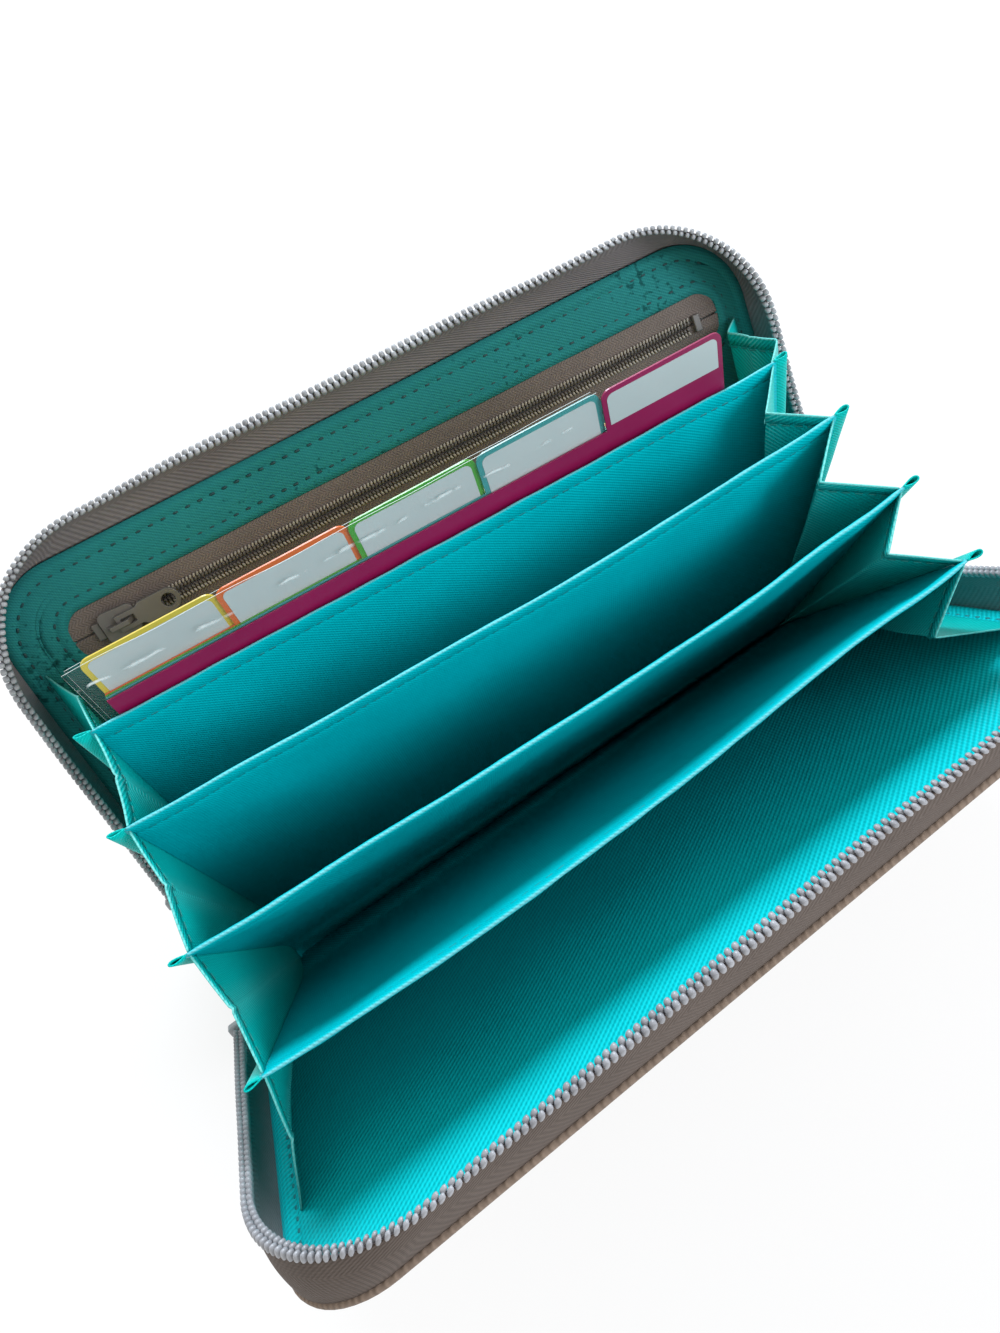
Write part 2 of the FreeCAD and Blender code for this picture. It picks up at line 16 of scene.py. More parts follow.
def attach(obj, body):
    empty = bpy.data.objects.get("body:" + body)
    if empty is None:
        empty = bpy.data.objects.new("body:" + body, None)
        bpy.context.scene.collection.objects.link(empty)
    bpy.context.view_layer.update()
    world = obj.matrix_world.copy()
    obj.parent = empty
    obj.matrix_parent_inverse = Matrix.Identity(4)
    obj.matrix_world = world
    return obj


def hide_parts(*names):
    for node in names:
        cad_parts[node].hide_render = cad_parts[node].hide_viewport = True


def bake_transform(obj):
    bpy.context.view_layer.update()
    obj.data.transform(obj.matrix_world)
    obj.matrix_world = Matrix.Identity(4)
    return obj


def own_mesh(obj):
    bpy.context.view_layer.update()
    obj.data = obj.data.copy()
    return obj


bl_info = {
    "name": "Coupon organizer wallet",
    "version": (1, 0, 0),
    "blender": (4, 5, 0),
    "location": "View3D > Sidebar > Wallet",
    "description": "Builds the cloth, zips, cards and stage of a zip-around organizer wallet",
    "category": "Object",
}

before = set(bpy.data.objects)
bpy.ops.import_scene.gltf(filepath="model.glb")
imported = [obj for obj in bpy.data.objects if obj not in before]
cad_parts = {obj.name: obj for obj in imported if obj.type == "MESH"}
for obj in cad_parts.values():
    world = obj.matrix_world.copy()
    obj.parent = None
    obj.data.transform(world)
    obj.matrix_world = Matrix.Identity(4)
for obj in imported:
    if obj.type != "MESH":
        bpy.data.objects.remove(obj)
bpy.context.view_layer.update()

MM = 0.001
BACK, FRONT = 0, 5
COVERS = ((BACK, "back", 1), (FRONT, "front", -1))
CARD_TONES = ("yellow", "orange", "green", "teal", "magenta")
# Points that lie closer than this are welded
WELD = 0.001 * MM
# Points of a cover's outline from near its right foot over the top to near its left foot
RIM = slice(18, 139)
# Pitch of a row of stitches, and the length, width and height of each stitch
OUTER_STITCH = np.array([3.4, 2.5, 0.55, 0.4]) * MM
LINING_STITCH = np.array([3.1, 1.25, 0.7, 0.5]) * MM
HEM_STITCH = np.array([2.7, 1.8, 0.6, 0.34]) * MM
GUSSET_STITCH = np.array([2.6, 1.7, 0.4, 0.3]) * MM
# How far the roughness of a surface varies from place to place
ROUGHNESS_SPREAD = 0.2


def linear(code):
    """Linear colour of an sRGB hex value: ((c + 0.055) / 1.055) ** 2.4 above 0.04045, else c / 12.92."""
    srgb = np.array([int(code[i:i + 2], 16) for i in (1, 3, 5)]) / 255
    return tuple(np.where(srgb > 0.04045, ((srgb + 0.055) / 1.055) ** 2.4, srgb / 12.92))


def length(name, description, value):
    """A length property, given in millimetres."""
    return FloatProperty(name=name, description=description, default=value * MM, unit="LENGTH")


def tint(name, description, code):
    """A colour property, given as an sRGB hex value."""
    return FloatVectorProperty(name=name, description=description, subtype="COLOR", size=3,
                               min=0, max=1, default=linear(code))


def panel_row(name, description, values):
    """One number for each panel, from the back cover over the four dividers to the front cover."""
    return FloatVectorProperty(name=name, description=description, size=6, default=values)


class WalletSizes(bpy.types.PropertyGroup):
    """Sizes of the wallet, the same as those of its solids."""
    cover_width: length("Cover width", "Along the fold", 200)
    cover_height: length("Cover height", "From the fold line to the opening edge", 98.5)
    cover_corner: length("Cover corner", "Radius at the opening edge", 20)
    fold_corner: length("Fold corner", "Radius at the fold", 10)
    tape_splay: length("Tape splay", "How far the zip stands out past the cover's top edge", 7.5)
    tape_height: length("Tape height", "Height of the zip tape over the lining", 9.8)
    chain_corner: length("Chain corner", "Radius of the zip chain at the corners", 34)
    chain_pitch: length("Chain pitch", "Spacing of the coil's turns", 1.6)
    fold_height: length("Fold height", "Fold lines over the rest face", 5)
    fold_half_left: length("Fold half, left", "Half the distance of the covers' fold lines", 19)
    fold_half_right: length("Fold half, right", "Half the distance of the covers' fold lines", 5)
    panel_left: panel_row("Left shares", "Left end of each fold line", (1, .76, .4, -.1, -.6, -1))
    panel_right: panel_row("Right shares", "Right end of each fold line", (1, .6, .2, -.2, -.6, -1))
    panel_leans: panel_row("Leans", "Lean of each panel in degrees",
                           (39.4, 14.5, 2, -10.8, -22.3, -39.4))
    panel_rises: panel_row("Rises", "How far each panel is drawn up, in millimetres",
                           (2, 0, 0, 0, 0, -2))
    divider_half: length("Divider half width", "From the middle to the gusset seam", 82)
    divider_height: length("Divider height", "From the fold line to the hemmed edge", 82)
    gusset_cover_half: length("Gusset half width", "Gusset seam on the covers", 94)
    pocket_half: length("Pocket zip half length", "Half the length of the window", 87)
    pocket_rise: length("Pocket zip rise", "Middle of the zip over the fold line", 77.5)
    pocket_window: length("Pocket window", "Height of the window", 13)
    pocket_shift: length("Pocket shift", "Middle of the window from the middle of the cover", 3)
    card_left: length("Card left edge", "Place along the fold", -75.5)
    card_width: length("Card width", "Width of the tab cards", 145)
    card_top: length("Card top", "Top of the card under its tab", 86)
    card_tab: length("Card tab", "Height of the tab", 10)


class WalletColours(bpy.types.PropertyGroup):
    """Colours of the wallet's cloths, zips and cards."""
    lining: tint("Lining", "Dividers and linings", "#00b4bd")
    lining_shade: tint("Lining shade", "Between the ribs of the lining", "#00919a")
    # The gusset tint is lighter than the lining's, partly painted light
    gusset: tint("Gusset", "Folded end walls", "#0abdb6")
    gusset_shade: tint("Gusset shade", "Between the ribs of the gussets", "#069993")
    # The back lining's twill is given darker and greyer than the other linings
    back_lining: tint("Back lining", "Worn lining of the back cover", "#2c817f")
    back_lining_shade: tint("Back lining shade", "Its shade", "#1f6363")
    front_lining: tint("Front lining", "Lining of the front cover", "#0dc6cb")
    front_lining_shade: tint("Front lining shade", "Its shade", "#029a9f")
    tape: tint("Zip tape", "Herringbone tape", "#7c716b")
    tape_shade: tint("Zip tape shade", "Between the ribs of the tape", "#4f4742")
    # The main zip's tape is one cloth: its inside tone is painted lighter for light, its outside tone painted
    # darker for shade
    main_tape: tint("Main zip tape", "Inside of the main zip's tapes", "#90888a")
    main_tape_shade: tint("Main zip tape shade", "Between its ribs", "#5f585a")
    shadowed_tape: tint("Handled tape", "Outside of the main zip's tapes", "#685d56")
    shadowed_tape_shade: tint("Handled tape shade", "Between its ribs", "#443c37")
    outer: tint("Outer cloth", "Covers and spine", "#8a796b")
    outer_shade: tint("Outer cloth shade", "Between its ribs", "#66584e")
    # Both coils are one nylon: the back coil's slightly lighter tone is painted light
    back_coil: tint("Back coil", "Nylon coil on the back cover", "#b9bdc0")
    front_coil: tint("Front coil", "Nylon coil on the front cover", "#b0b2b7")
    # The coil's darker tone is mixed in by slow noise, in random patches
    coil_shade: tint("Coil shade", "Grime between the turns", "#68676b")
    pocket_coil: tint("Pocket coil", "Nylon coil of the pocket zip", "#665f59")
    metal: tint("Slider", "Painted die-cast zinc", "#75706c")
    thread: tint("Thread", "Sewing thread of the linings", "#078a90")
    yellow: tint("Yellow card", "Printed border", "#cdb83f")
    orange: tint("Orange card", "Printed border", "#d7692f")
    green: tint("Green card", "Printed border", "#4c9c33")
    teal: tint("Teal card", "Printed border", "#3d9291")
    magenta: tint("Magenta card", "Printed card", "#93134e")
    # The labels are white paper; this grey is painted shade
    label: tint("Label", "Paper label on a tab", "#b4bbba")


def sizes():
    """Sizes of the wallet in this scene."""
    return bpy.context.scene.wallet_sizes


def colours():
    """Colours of the wallet in this scene."""
    return bpy.context.scene.wallet_colours


def panel_frame(index):
    """Turn and foot of a panel: its yaw along the fold line, its lean about it, its rise up its plane."""
    s = sizes()
    left = s.fold_half_left * s.panel_left[index]
    right = s.fold_half_right * s.panel_right[index]
    yaw = Matrix.Rotation(math.atan2(right - left, s.cover_width), 3, "Z")
    turn = np.array(yaw @ Matrix.Rotation(-math.radians(s.panel_leans[index]), 3, "X"))
    foot = np.array([0, (left + right) / 2, s.fold_height])
    return turn, foot + turn[:, 2] * s.panel_rises[index] * MM


def place(index, local):
    """Points of a panel's own frame, moved to the open pose: foot + turn @ point."""
    turn, foot = panel_frame(index)
    return np.asarray(local) @ turn.T + foot


def points_of(*coordinates):
    """Points from their coordinates, arrays or plain numbers, spread to one shape."""
    return np.stack(np.broadcast_arrays(*coordinates), -1)


def grid_faces(rows, columns, flip=False):
    """Quads of a grid of points that are numbered row by row, turned over where flip is set."""
    first = (np.arange(rows - 1)[:, None] * columns + np.arange(columns - 1)).ravel()
    quads = np.stack([first, first + 1, first + columns + 1, first + columns], -1)
    return quads[:, ::-1] if flip else quads


def ripple(a, b, span, seed):
    """Soft unevenness of cloth from -1 to 1: the mean of five sines in random directions, about span long."""
    draw, waves = np.random.default_rng(seed), 5
    heading = draw.uniform(0, 2 * math.pi, waves)
    phase = draw.uniform(0, 2 * math.pi, waves)
    reach = span * draw.uniform(0.6, 1.6, waves)
    along = np.multiply.outer(a, np.cos(heading)) + np.multiply.outer(b, np.sin(heading))
    return np.sin(along / reach * 2 * math.pi + phase).mean(-1)


def bell(x, centre, width):
    """Gaussian bump of height 1."""
    return np.exp(-((x - centre) / width) ** 2)


def outline(inset, half, base, top, low, high):
    """Closed rounded outline (x, z), drawn in by inset: four arcs and the straight runs between them.
    It starts at the base right, runs anticlockwise and has the same count of points at any inset."""
    arc_points, run_points = 15, (16, 70, 16, 70)
    half, base, top = half - inset, base + inset, top - inset
    low, high = max(low - inset, 0), max(high - inset, 0)
    turn = np.linspace(0, math.pi / 2, arc_points)
    arcs = []
    for x, z, radius, start in ((half - low, base + low, low, -0.5), (half - high, top - high, high, 0),
                                (high - half, top - high, high, 0.5), (low - half, base + low, low, 1)):
        angle = turn + start * math.pi
        arcs.append(points_of(x + radius * np.cos(angle), z + radius * np.sin(angle)))
    parts = []
    for index, steps in enumerate(run_points):
        share = np.linspace(0, 1, steps)[1:-1, None]
        ahead = arcs[(index + 1) % len(arcs)][0]
        parts += [arcs[index], arcs[index][-1] * (1 - share) + ahead * share]
    return np.concatenate(parts + [arcs[0][:1]])


def cover_outline(inset):
    """Outline of a cover, drawn in by inset."""
    s = sizes()
    return outline(inset, s.cover_width / 2, 0, s.cover_height, s.fold_corner, s.cover_corner)


def window_outline(inset):
    """Outline of the zip pocket's window, drawn in by inset, or out where inset is below 0."""
    s = sizes()
    half, radius = s.pocket_window / 2, 5 * MM
    ring = outline(inset, s.pocket_half, s.pocket_rise - half, s.pocket_rise + half, radius, radius)
    return ring + np.array([s.pocket_shift, 0])


def rim_run(half, top, radius, start, knots):
    """Way round a cover from its left foot over the top to the right foot, as x, z and outward angle.
    knots count its five runs (rise, arc, top, arc, fall) and their parts; the centre of curvature
    slides up, across and down while the angle turns from pi to 0."""
    rise, arc, run = top - radius - start, math.pi / 2 * radius, 2 * (half - radius)
    ends = np.cumsum([0, rise, arc, run, arc, rise])
    s = np.interp(knots, np.arange(6), ends)
    angle = math.pi - (np.clip(s - ends[1], 0, arc) + np.clip(s - ends[3], 0, arc)) / radius
    x = radius - half + np.clip(s - ends[2], 0, run) + radius * np.cos(angle)
    z = start + np.clip(s, 0, rise) - np.clip(s - ends[4], 0, rise) + radius * np.sin(angle)
    return x, z, angle, s


def chain_run(count):
    """Foot and free edge of a zip tape at even steps: local x, z of both, outward angle and length."""
    s = sizes()
    inset, start = 1.4 * MM, 10 * MM
    half, radius = s.cover_width / 2 - inset, s.chain_corner - inset
    top = s.cover_height + s.tape_splay - inset
    fine = np.linspace(0, 5, 2001)
    way = rim_run(half, top, radius, start, fine)[3]
    knots = np.interp(np.linspace(0, way[-1], count), way, fine)
    free_x, free_z, angle, way = rim_run(half, top, radius, start, knots)
    foot_x, foot_z, _, _ = rim_run(half, s.cover_height - inset, s.cover_corner - inset, start, knots)
    return foot_x, foot_z, free_x, free_z, angle, way


def tape_points(index, side, share, count):
    """Points of a zip tape: straight from its foot in the seam to its free edge, bowed out a little by
    a half sine, with a slow ripple that grows toward the free edge. share runs from foot to edge."""
    foot_x, foot_z, free_x, free_z, angle, way = chain_run(count)
    share = np.asarray(share)[:, None]
    bow, wave, span = 0.7 * MM, 0.35 * MM, 45 * MM
    swell = bow * np.sin(math.pi * share) + wave * share * ripple(way, 0, span, 11 + index)
    x = foot_x + (free_x - foot_x) * share + swell * np.cos(angle)
    z = foot_z + (free_z - foot_z) * share + swell * np.sin(angle)
    low, high = 1.0 * MM, -sizes().tape_height
    return points_of(x, side * (low + (high - low) * share), z), way


def unit(v):
    """Vectors of length 1."""
    return v / np.linalg.norm(v, axis=-1, keepdims=True)


def resample(line, pitch, *others):
    """Even steps along a line of points: places, headings, and other values interpolated there."""
    legs = np.linalg.norm(np.diff(line, axis=0), axis=1)
    way = np.concatenate([[0], np.cumsum(legs)])
    steps = np.arange(pitch / 2, way[-1], pitch)

    def at(where, values):
        return np.stack([np.interp(where, way, values[:, k]) for k in range(values.shape[1])], -1)

    reach = pitch / 4
    heading = at(np.minimum(steps + reach, way[-1]), line) - at(np.maximum(steps - reach, 0), line)
    return at(steps, line), unit(heading), [at(steps, values) for values in others]


def pill(long, wide, high, blunt=0.6):
    """Blunt ellipsoid: x = long/2 cos(a)^blunt, and round it sin(a)^blunt times half of wide and high."""
    rings, steps = 7, 9
    a = np.linspace(0, math.pi, rings)[:, None]
    b = np.linspace(0, 2 * math.pi, steps)[None]
    cosine, ring = np.cos(a), np.clip(np.sin(a), 0, 1) ** blunt
    x = long / 2 * np.sign(cosine) * np.abs(cosine) ** blunt
    points = points_of(x, wide / 2 * ring * np.cos(b), high / 2 * ring * np.sin(b))
    return points.reshape(-1, 3), grid_faces(rings, steps, True)


def strew(template, places, frames):
    """Copies of a small shape: each point is place + frame @ template point."""
    points, faces = template
    spread = places[:, None] + np.einsum("kij,nj->kni", frames, points)
    steps = np.arange(len(places))[:, None, None] * len(points)
    return spread.reshape(-1, 3), (faces[None] + steps).reshape(-1, faces.shape[1])


def axes(heading, up):
    """Frames whose x is heading, z nearest to up and y across them."""
    across = unit(np.cross(up, heading))
    return np.stack([heading, across, np.cross(heading, across)], -1)


def stitches(line, up, stitch):
    """Row of thread stitches along a line of points on cloth whose outward side is up."""
    pitch, long, wide, high = stitch
    places, heading, (ups,) = resample(line, pitch, np.broadcast_to(up, line.shape))
    return strew(pill(long, wide, high), places, axes(heading, unit(ups)))


def joined(*parts):
    """Several shapes as one list of points and one of faces."""
    steps = np.cumsum([0] + [len(points) for points, _ in parts[:-1]])
    return (np.concatenate([points for points, _ in parts]),
            np.concatenate([faces + step for (_, faces), step in zip(parts, steps)]))


def round_top(left, right, top, radius):
    """Two arcs at the top corners of an outline (x, z), from the right side over to the left."""
    bend = np.linspace(0, math.pi / 2, 9)
    cosine, sine = radius * np.cos(bend), radius * np.sin(bend)
    return np.concatenate([points_of(right - radius + cosine, top - radius + sine),
                           points_of(left + radius - sine, top - radius + cosine)])


def prism(edge, near, far):
    """Flat plate of an outline (x, z): its points at the depths near and far, and its faces as lists."""
    points = np.concatenate([points_of(edge[:, 0], y, edge[:, 1]) for y in (near, far)])
    count = len(edge)
    ring = np.arange(count)
    ahead = (ring + 1) % count
    sides = np.stack([ring, ring + count, ahead + count, ahead], -1)
    return points, [ring.tolist(), (ring[::-1] + count).tolist()] + sides.tolist()


def welded(mesh, flat=0.0):
    """Join a mesh's double points and, where flat is set, the faces that meet at less than that angle."""
    work = bmesh.new()
    work.from_mesh(mesh)
    bmesh.ops.remove_doubles(work, verts=work.verts, dist=WELD)
    if flat:
        bmesh.ops.dissolve_limit(work, angle_limit=flat, verts=work.verts, edges=work.edges)
    work.to_mesh(mesh)
    work.free()


def linked(name, data):
    """New object in the scene."""
    made = bpy.data.objects.new(name, data)
    bpy.context.scene.collection.objects.link(made)
    return made


def piece(name, points, faces, slot, materials, uv=None, body=None, replaces=(), thickness=0.0, which=None):
    """New mesh object from points and faces, with its cloth map in metres, welded and shaded smooth."""
    mesh = bpy.data.meshes.new(name)
    mesh.from_pydata(np.asarray(points).reshape(-1, 3).tolist(), [], [list(f) for f in faces])
    if uv is not None:
        corner = np.zeros(len(mesh.loops), np.int32)
        mesh.loops.foreach_get("vertex_index", corner)
        cloth_map = np.asarray(uv).reshape(-1, 2)[corner]
        mesh.uv_layers.new(name="cloth").data.foreach_set("uv", cloth_map.ravel())
    for material in materials:
        mesh.materials.append(material)
    if which is not None:
        mesh.polygons.foreach_set("material_index", np.asarray(which, np.int32))
    mesh.polygons.foreach_set("use_smooth", np.ones(len(mesh.polygons), bool))
    welded(mesh)
    made = linked(name, mesh)
    if thickness:
        wall = made.modifiers.new("cloth thickness", "SOLIDIFY")
        wall.thickness, wall.offset = thickness, 0
    if body:
        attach(made, body)
    if replaces:
        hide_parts(*replaces)
    return made


def softened(node, body, material, width):
    """Copy of a rigid solid with its edges eased by a bevel, in place of the solid."""
    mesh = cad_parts[node].data.copy()
    mesh.materials.clear()
    mesh.materials.append(material)
    welded(mesh, flat=0.02)
    made = linked(node + "_eased", mesh)
    ease = made.modifiers.new("eased edges", "BEVEL")
    ease.width, ease.segments, ease.limit_method = width, 2, "ANGLE"
    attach(made, body)
    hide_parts(node)
    return made


def add(tree, kind, inputs=(), operation=None, **settings):
    """Add one node and give its outputs: inputs go to its sockets, by name or in order, as links or plain
    values, and the operation and other settings to its properties."""
    node = tree.nodes.new("ShaderNode" + kind)
    if operation:
        node.operation = operation
    for key, value in settings.items():
        setattr(node, key, value)
    for key, value in inputs.items() if isinstance(inputs, dict) else enumerate(inputs):
        if isinstance(value, bpy.types.NodeSocket):
            tree.links.new(value, node.inputs[key])
        else:
            node.inputs[key].default_value = value
    return node.outputs


def rgba(colour):
    """A colour with full alpha, as sockets take it."""
    return (*colour, 1)


def dimmed(colour, share=0.6):
    """A darker tone of a colour, as grime and shade give."""
    return tuple(share * v for v in colour)


def shader_of(name, **sockets):
    """New material and its shader, with plain values on the shader's own sockets."""
    material = bpy.data.materials.new(name)
    material.use_nodes = True
    shader = material.node_tree.nodes["Principled BSDF"]
    for key, value in sockets.items():
        shader.inputs[key.replace("_", " ")].default_value = value
    return material, material.node_tree, shader


def wire(tree, shader, **sockets):
    """Link node outputs to the shader's sockets of those names."""
    for key, output in sockets.items():
        tree.links.new(output, shader.inputs[key.replace("_", " ")])


def woven(name, thread, shade, pitch, angle, relief, roughness, gloss_level, chevron=0.0, smudge=0.0,
          ribs=0.22, fold=0.0, crease=0.0):
    """Woven polyester. Ribs of a twill lie pitch apart at an angle to the cloth's length and turn back
    every chevron, which makes a herringbone; a finer rib crosses them, and ribs is how far they change the
    tone. A slow noise varies it too, as dye and handling do, and smudge adds the specks that wear leaves
    on a lining. fold is how far from the hem's edge, at v = 0, a painted highlight lightens the cloth, and
    crease how far from the pressed crease, at u = 0, its ribs carry painted glints."""
    material, tree, shader = shader_of(name, Specular_IOR_Level=gloss_level, Specular_Tint=rgba(thread))
    cloth = add(tree, "UVMap", uv_map="cloth")["UV"]
    split = add(tree, "SeparateXYZ", [cloth])
    across, along = split["X"], split["Y"]
    if chevron:
        across = add(tree, "Math", [split["Y"], chevron], "PINGPONG")[0]
        along = split["X"]
    turn = 2 * math.pi / pitch
    weft_turn, weft_share, slub_share = turn * 1.3, 0.35, 0.3
    lean = add(tree, "Math", [across, turn * math.sin(angle)], "MULTIPLY")[0]
    phase = add(tree, "Math", [along, turn * math.cos(angle), lean], "MULTIPLY_ADD")[0]
    rib = add(tree, "Math", [phase], "SINE")[0]
    weft = add(tree, "Math", [across, weft_turn], "MULTIPLY")[0]
    weft = add(tree, "Math", [weft], "SINE")[0]
    height = add(tree, "Math", [weft, weft_share, rib], "MULTIPLY_ADD")[0]
    slow = add(tree, "TexNoise", {"Vector": cloth, "Scale": 1 / (45 * MM), "Detail": 3.0,
                                  "Roughness": 0.6})["Fac"]
    slub = add(tree, "TexNoise", {"Vector": cloth, "Scale": 1 / (1.5 * MM), "Detail": 1.0})["Fac"]
    tone = add(tree, "Math", [height, ribs, slow], "MULTIPLY_ADD")[0]
    tone = add(tree, "Math", [slub, slub_share, tone], "MULTIPLY_ADD")[0]
    colour = add(tree, "MixRGB", [tone, rgba(shade), rgba(thread)], use_clamp=True)[0]
    if smudge:
        patch = add(tree, "TexNoise", {"Vector": cloth, "Scale": 1 / (22 * MM), "Detail": 2.0})["Fac"]
        speck = add(tree, "TexNoise", {"Vector": cloth, "Scale": 1 / (1.7 * MM), "Detail": 2.0})["Fac"]
        both = add(tree, "Math", [patch, speck], "MULTIPLY")[0]
        clean, dirty = 0.35, 0.42
        mask = add(tree, "MapRange", [both, clean, dirty, 0.0, smudge])[0]
        colour = add(tree, "MixRGB", [mask, colour, rgba(dimmed(shade, 0.25))])[0]
    # Painted highlight: a lighter tone of the thread for the light on a hem's fold and on ribs by a crease
    highlight_lift = 0.24
    painted_highlight = rgba(tuple(highlight_lift + (1 - highlight_lift) * c for c in thread))
    # Painted highlight along the hem's fold
    if fold:
        off = add(tree, "Math", [split["Y"]], "ABSOLUTE")[0]
        fold_highlight = add(tree, "MapRange", [off, 0.1 * MM, fold, 0.6, 0.0])[0]
        colour = add(tree, "MixRGB", [fold_highlight, colour, painted_highlight])[0]
    # Painted glints on the ribs near a pressed crease
    if crease:
        off = add(tree, "Math", [split["X"]], "ABSOLUTE")[0]
        near = add(tree, "MapRange", [off, 0.2 * MM, crease, 0.42, 0.0])[0]
        glint = add(tree, "Math", [near, rib], "MULTIPLY", use_clamp=True)[0]
        colour = add(tree, "MixRGB", [glint, colour, painted_highlight])[0]
    gloss = add(tree, "Math", [slow, ROUGHNESS_SPREAD, roughness - ROUGHNESS_SPREAD / 2], "MULTIPLY_ADD")[0]
    bump = add(tree, "Bump", {"Height": height, "Distance": relief, "Strength": 0.6})[0]
    wire(tree, shader, Base_Color=colour, Roughness=gloss, Normal=bump)
    return material


def moulded(name, colour, shade, grain, roughness, **sockets):
    """Nylon, paint or print with a slow change of tone, a fine grain in its relief and grime as shade."""
    material, tree, shader = shader_of(name, **sockets)
    where = add(tree, "TexCoord")["Object"]
    tone = add(tree, "TexNoise", {"Vector": where, "Scale": 1 / (12 * grain), "Detail": 4.0})["Fac"]
    mix = add(tree, "MixRGB", [tone, rgba(shade), rgba(colour)])[0]
    fine = add(tree, "TexNoise", {"Vector": where, "Scale": 1 / grain, "Detail": 2.0})["Fac"]
    rough = add(tree, "Math", [fine, ROUGHNESS_SPREAD, roughness - ROUGHNESS_SPREAD / 2], "MULTIPLY_ADD")[0]
    bump = add(tree, "Bump", {"Height": fine, "Distance": 0.04 * MM, "Strength": 0.3})[0]
    wire(tree, shader, Base_Color=mix, Roughness=rough, Normal=bump)
    return material


def twill_lining(name, thread, shade, smudge=0.0, fold=0.0):
    """Satin-backed polyester twill: real ribs lie 0.45 mm apart, drawn 0.65 mm apart so that they show."""
    return woven(name, thread, shade, 0.65 * MM, math.radians(35), 0.05 * MM, 0.45, 0.35, smudge=smudge,
                 fold=fold)


def hemmed_twill(name, thread, shade):
    """The lining's twill on a divider, with a painted highlight along the fold of its hem."""
    return twill_lining(name, thread, shade, fold=0.34 * MM)


def creased_twill(name, thread, shade):
    """The lining's twill on a gusset: ribs drawn 0.8 mm apart so that they show, with a painted highlight at
    the hem and painted glints on the ribs by the crease.
    """
    return woven(name, thread, shade, 0.8 * MM, math.radians(35), 0.08 * MM, 0.42, 0.4, ribs=0.32,
                 fold=0.3 * MM, crease=5 * MM)


def worn_twill_lining(name, thread, shade):
    """The lining's twill in the back cover, specked dark by wear."""
    return twill_lining(name, thread, shade, smudge=0.7)


def heavy_twill_lining(name, thread, shade):
    """Heavier twill of the front lining: its ribs lie 1.05 mm apart and stand out in raking light."""
    return woven(name, thread, shade, 1.05 * MM, math.radians(38), 0.1 * MM, 0.45, 0.35, ribs=0.42)


def herringbone(name, thread, shade):
    """Polyester zip tape: herringbone with ribs 0.9 mm apart that turn back every 8 mm."""
    return woven(name, thread, shade, 0.9 * MM, math.radians(50), 0.07 * MM, 0.7, 0.3, chevron=8 * MM,
                 ribs=0.16)


def speckled_tape(name, thread, shade):
    """Fine zip tape of the pocket: ribs 0.6 mm apart that turn back every 1.1 mm, which reads as specks."""
    return woven(name, thread, shade, 0.6 * MM, math.radians(45), 0.07 * MM, 0.7, 0.3, chevron=1.1 * MM)


def outer_twill(name, thread, shade):
    """Coated polyester twill of the covers: heavy ribs 1.2 mm apart, dull."""
    return woven(name, thread, shade, 1.2 * MM, math.radians(40), 0.1 * MM, 0.62, 0.3)


def sewing_thread(name, colour, shade, roughness):
    """Spun polyester thread: fuzzy and so dull, darker between its strands."""
    return moulded(name, colour, shade, 0.4 * MM, roughness)


def nylon_coil(name, colour, shade, roughness):
    """Extruded nylon coil: smooth, with a soft shine, darker in slow random patches."""
    return moulded(name, colour, shade, 0.5 * MM, roughness)


def painted_zinc(name, colour):
    """Die-cast zinc under thin paint: a satin shine, rubbed darker in patches."""
    return moulded(name, colour, dimmed(colour), 0.8 * MM, 0.38)


def printed_card(name, colour):
    """Coated card with a printed border: even, with a slight shine."""
    return moulded(name, colour, dimmed(colour, 0.72), 1.5 * MM, 0.36)


def label_paper(name, colour, shade):
    """Smooth paper label: white paper painted grey for shade, dull, with a faint cloud."""
    return moulded(name, colour, shade, 1.2 * MM, 0.45)


def grey_board(name, colour, shade):
    """Pressed grey board: dull and mottled."""
    return moulded(name, colour, shade, 1.5 * MM, 0.8)


def cut_film(name, colour, shade):
    """Cut edge of clear film: it gathers the light, so it shows nearly white."""
    return moulded(name, colour, shade, 0.5 * MM, 0.3, Alpha=0.8)


def clear_film(name, colour):
    """Clear soft PVC film with shallow crumples: hardly seen but for its glints. A white line about 5 mm
    under the top edge, broken in places, is a painted glint along a crease."""
    glint_line_rise, glint_line_wander, least_alpha, least_rough = 89 * MM, 4 * MM, 0.012, 0.05
    film, tree, shader = shader_of(name, Base_Color=rgba(colour), IOR=1.45)
    where = add(tree, "UVMap", uv_map="cloth")["UV"]
    crumple = add(tree, "TexNoise", {"Vector": where, "Scale": 1 / (12 * MM), "Detail": 3.0})["Fac"]
    bump = add(tree, "Bump", {"Height": crumple, "Distance": 0.5 * MM, "Strength": 0.4})[0]
    rough = add(tree, "Math", [crumple, 0.12, least_rough], "MULTIPLY_ADD")[0]
    # Painted glint: a wandering white line under the top edge, broken by noise, made more opaque there
    wander = add(tree, "Math", [crumple, glint_line_wander, glint_line_rise], "MULTIPLY_ADD")[0]
    height = add(tree, "SeparateXYZ", [where])["Y"]
    off = add(tree, "Math", [height, wander], "SUBTRACT")[0]
    off = add(tree, "Math", [off], "ABSOLUTE")[0]
    line = add(tree, "MapRange", [off, 0.12 * MM, 0.45 * MM, 0.6, 0.0])[0]
    broken = add(tree, "TexNoise", {"Vector": where, "Scale": 1 / (6 * MM), "Detail": 2.0})["Fac"]
    broken = add(tree, "MapRange", [broken, 0.48, 0.6, 0.0, 1.0])[0]
    alpha = add(tree, "Math", [line, broken, least_alpha], "MULTIPLY_ADD")[0]
    wire(tree, shader, Normal=bump, Roughness=rough, Alpha=alpha)
    return film


def surface(name, make, *values):
    """The material of that name, made when it is first asked for."""
    return bpy.data.materials.get(name) or make(name, *values)


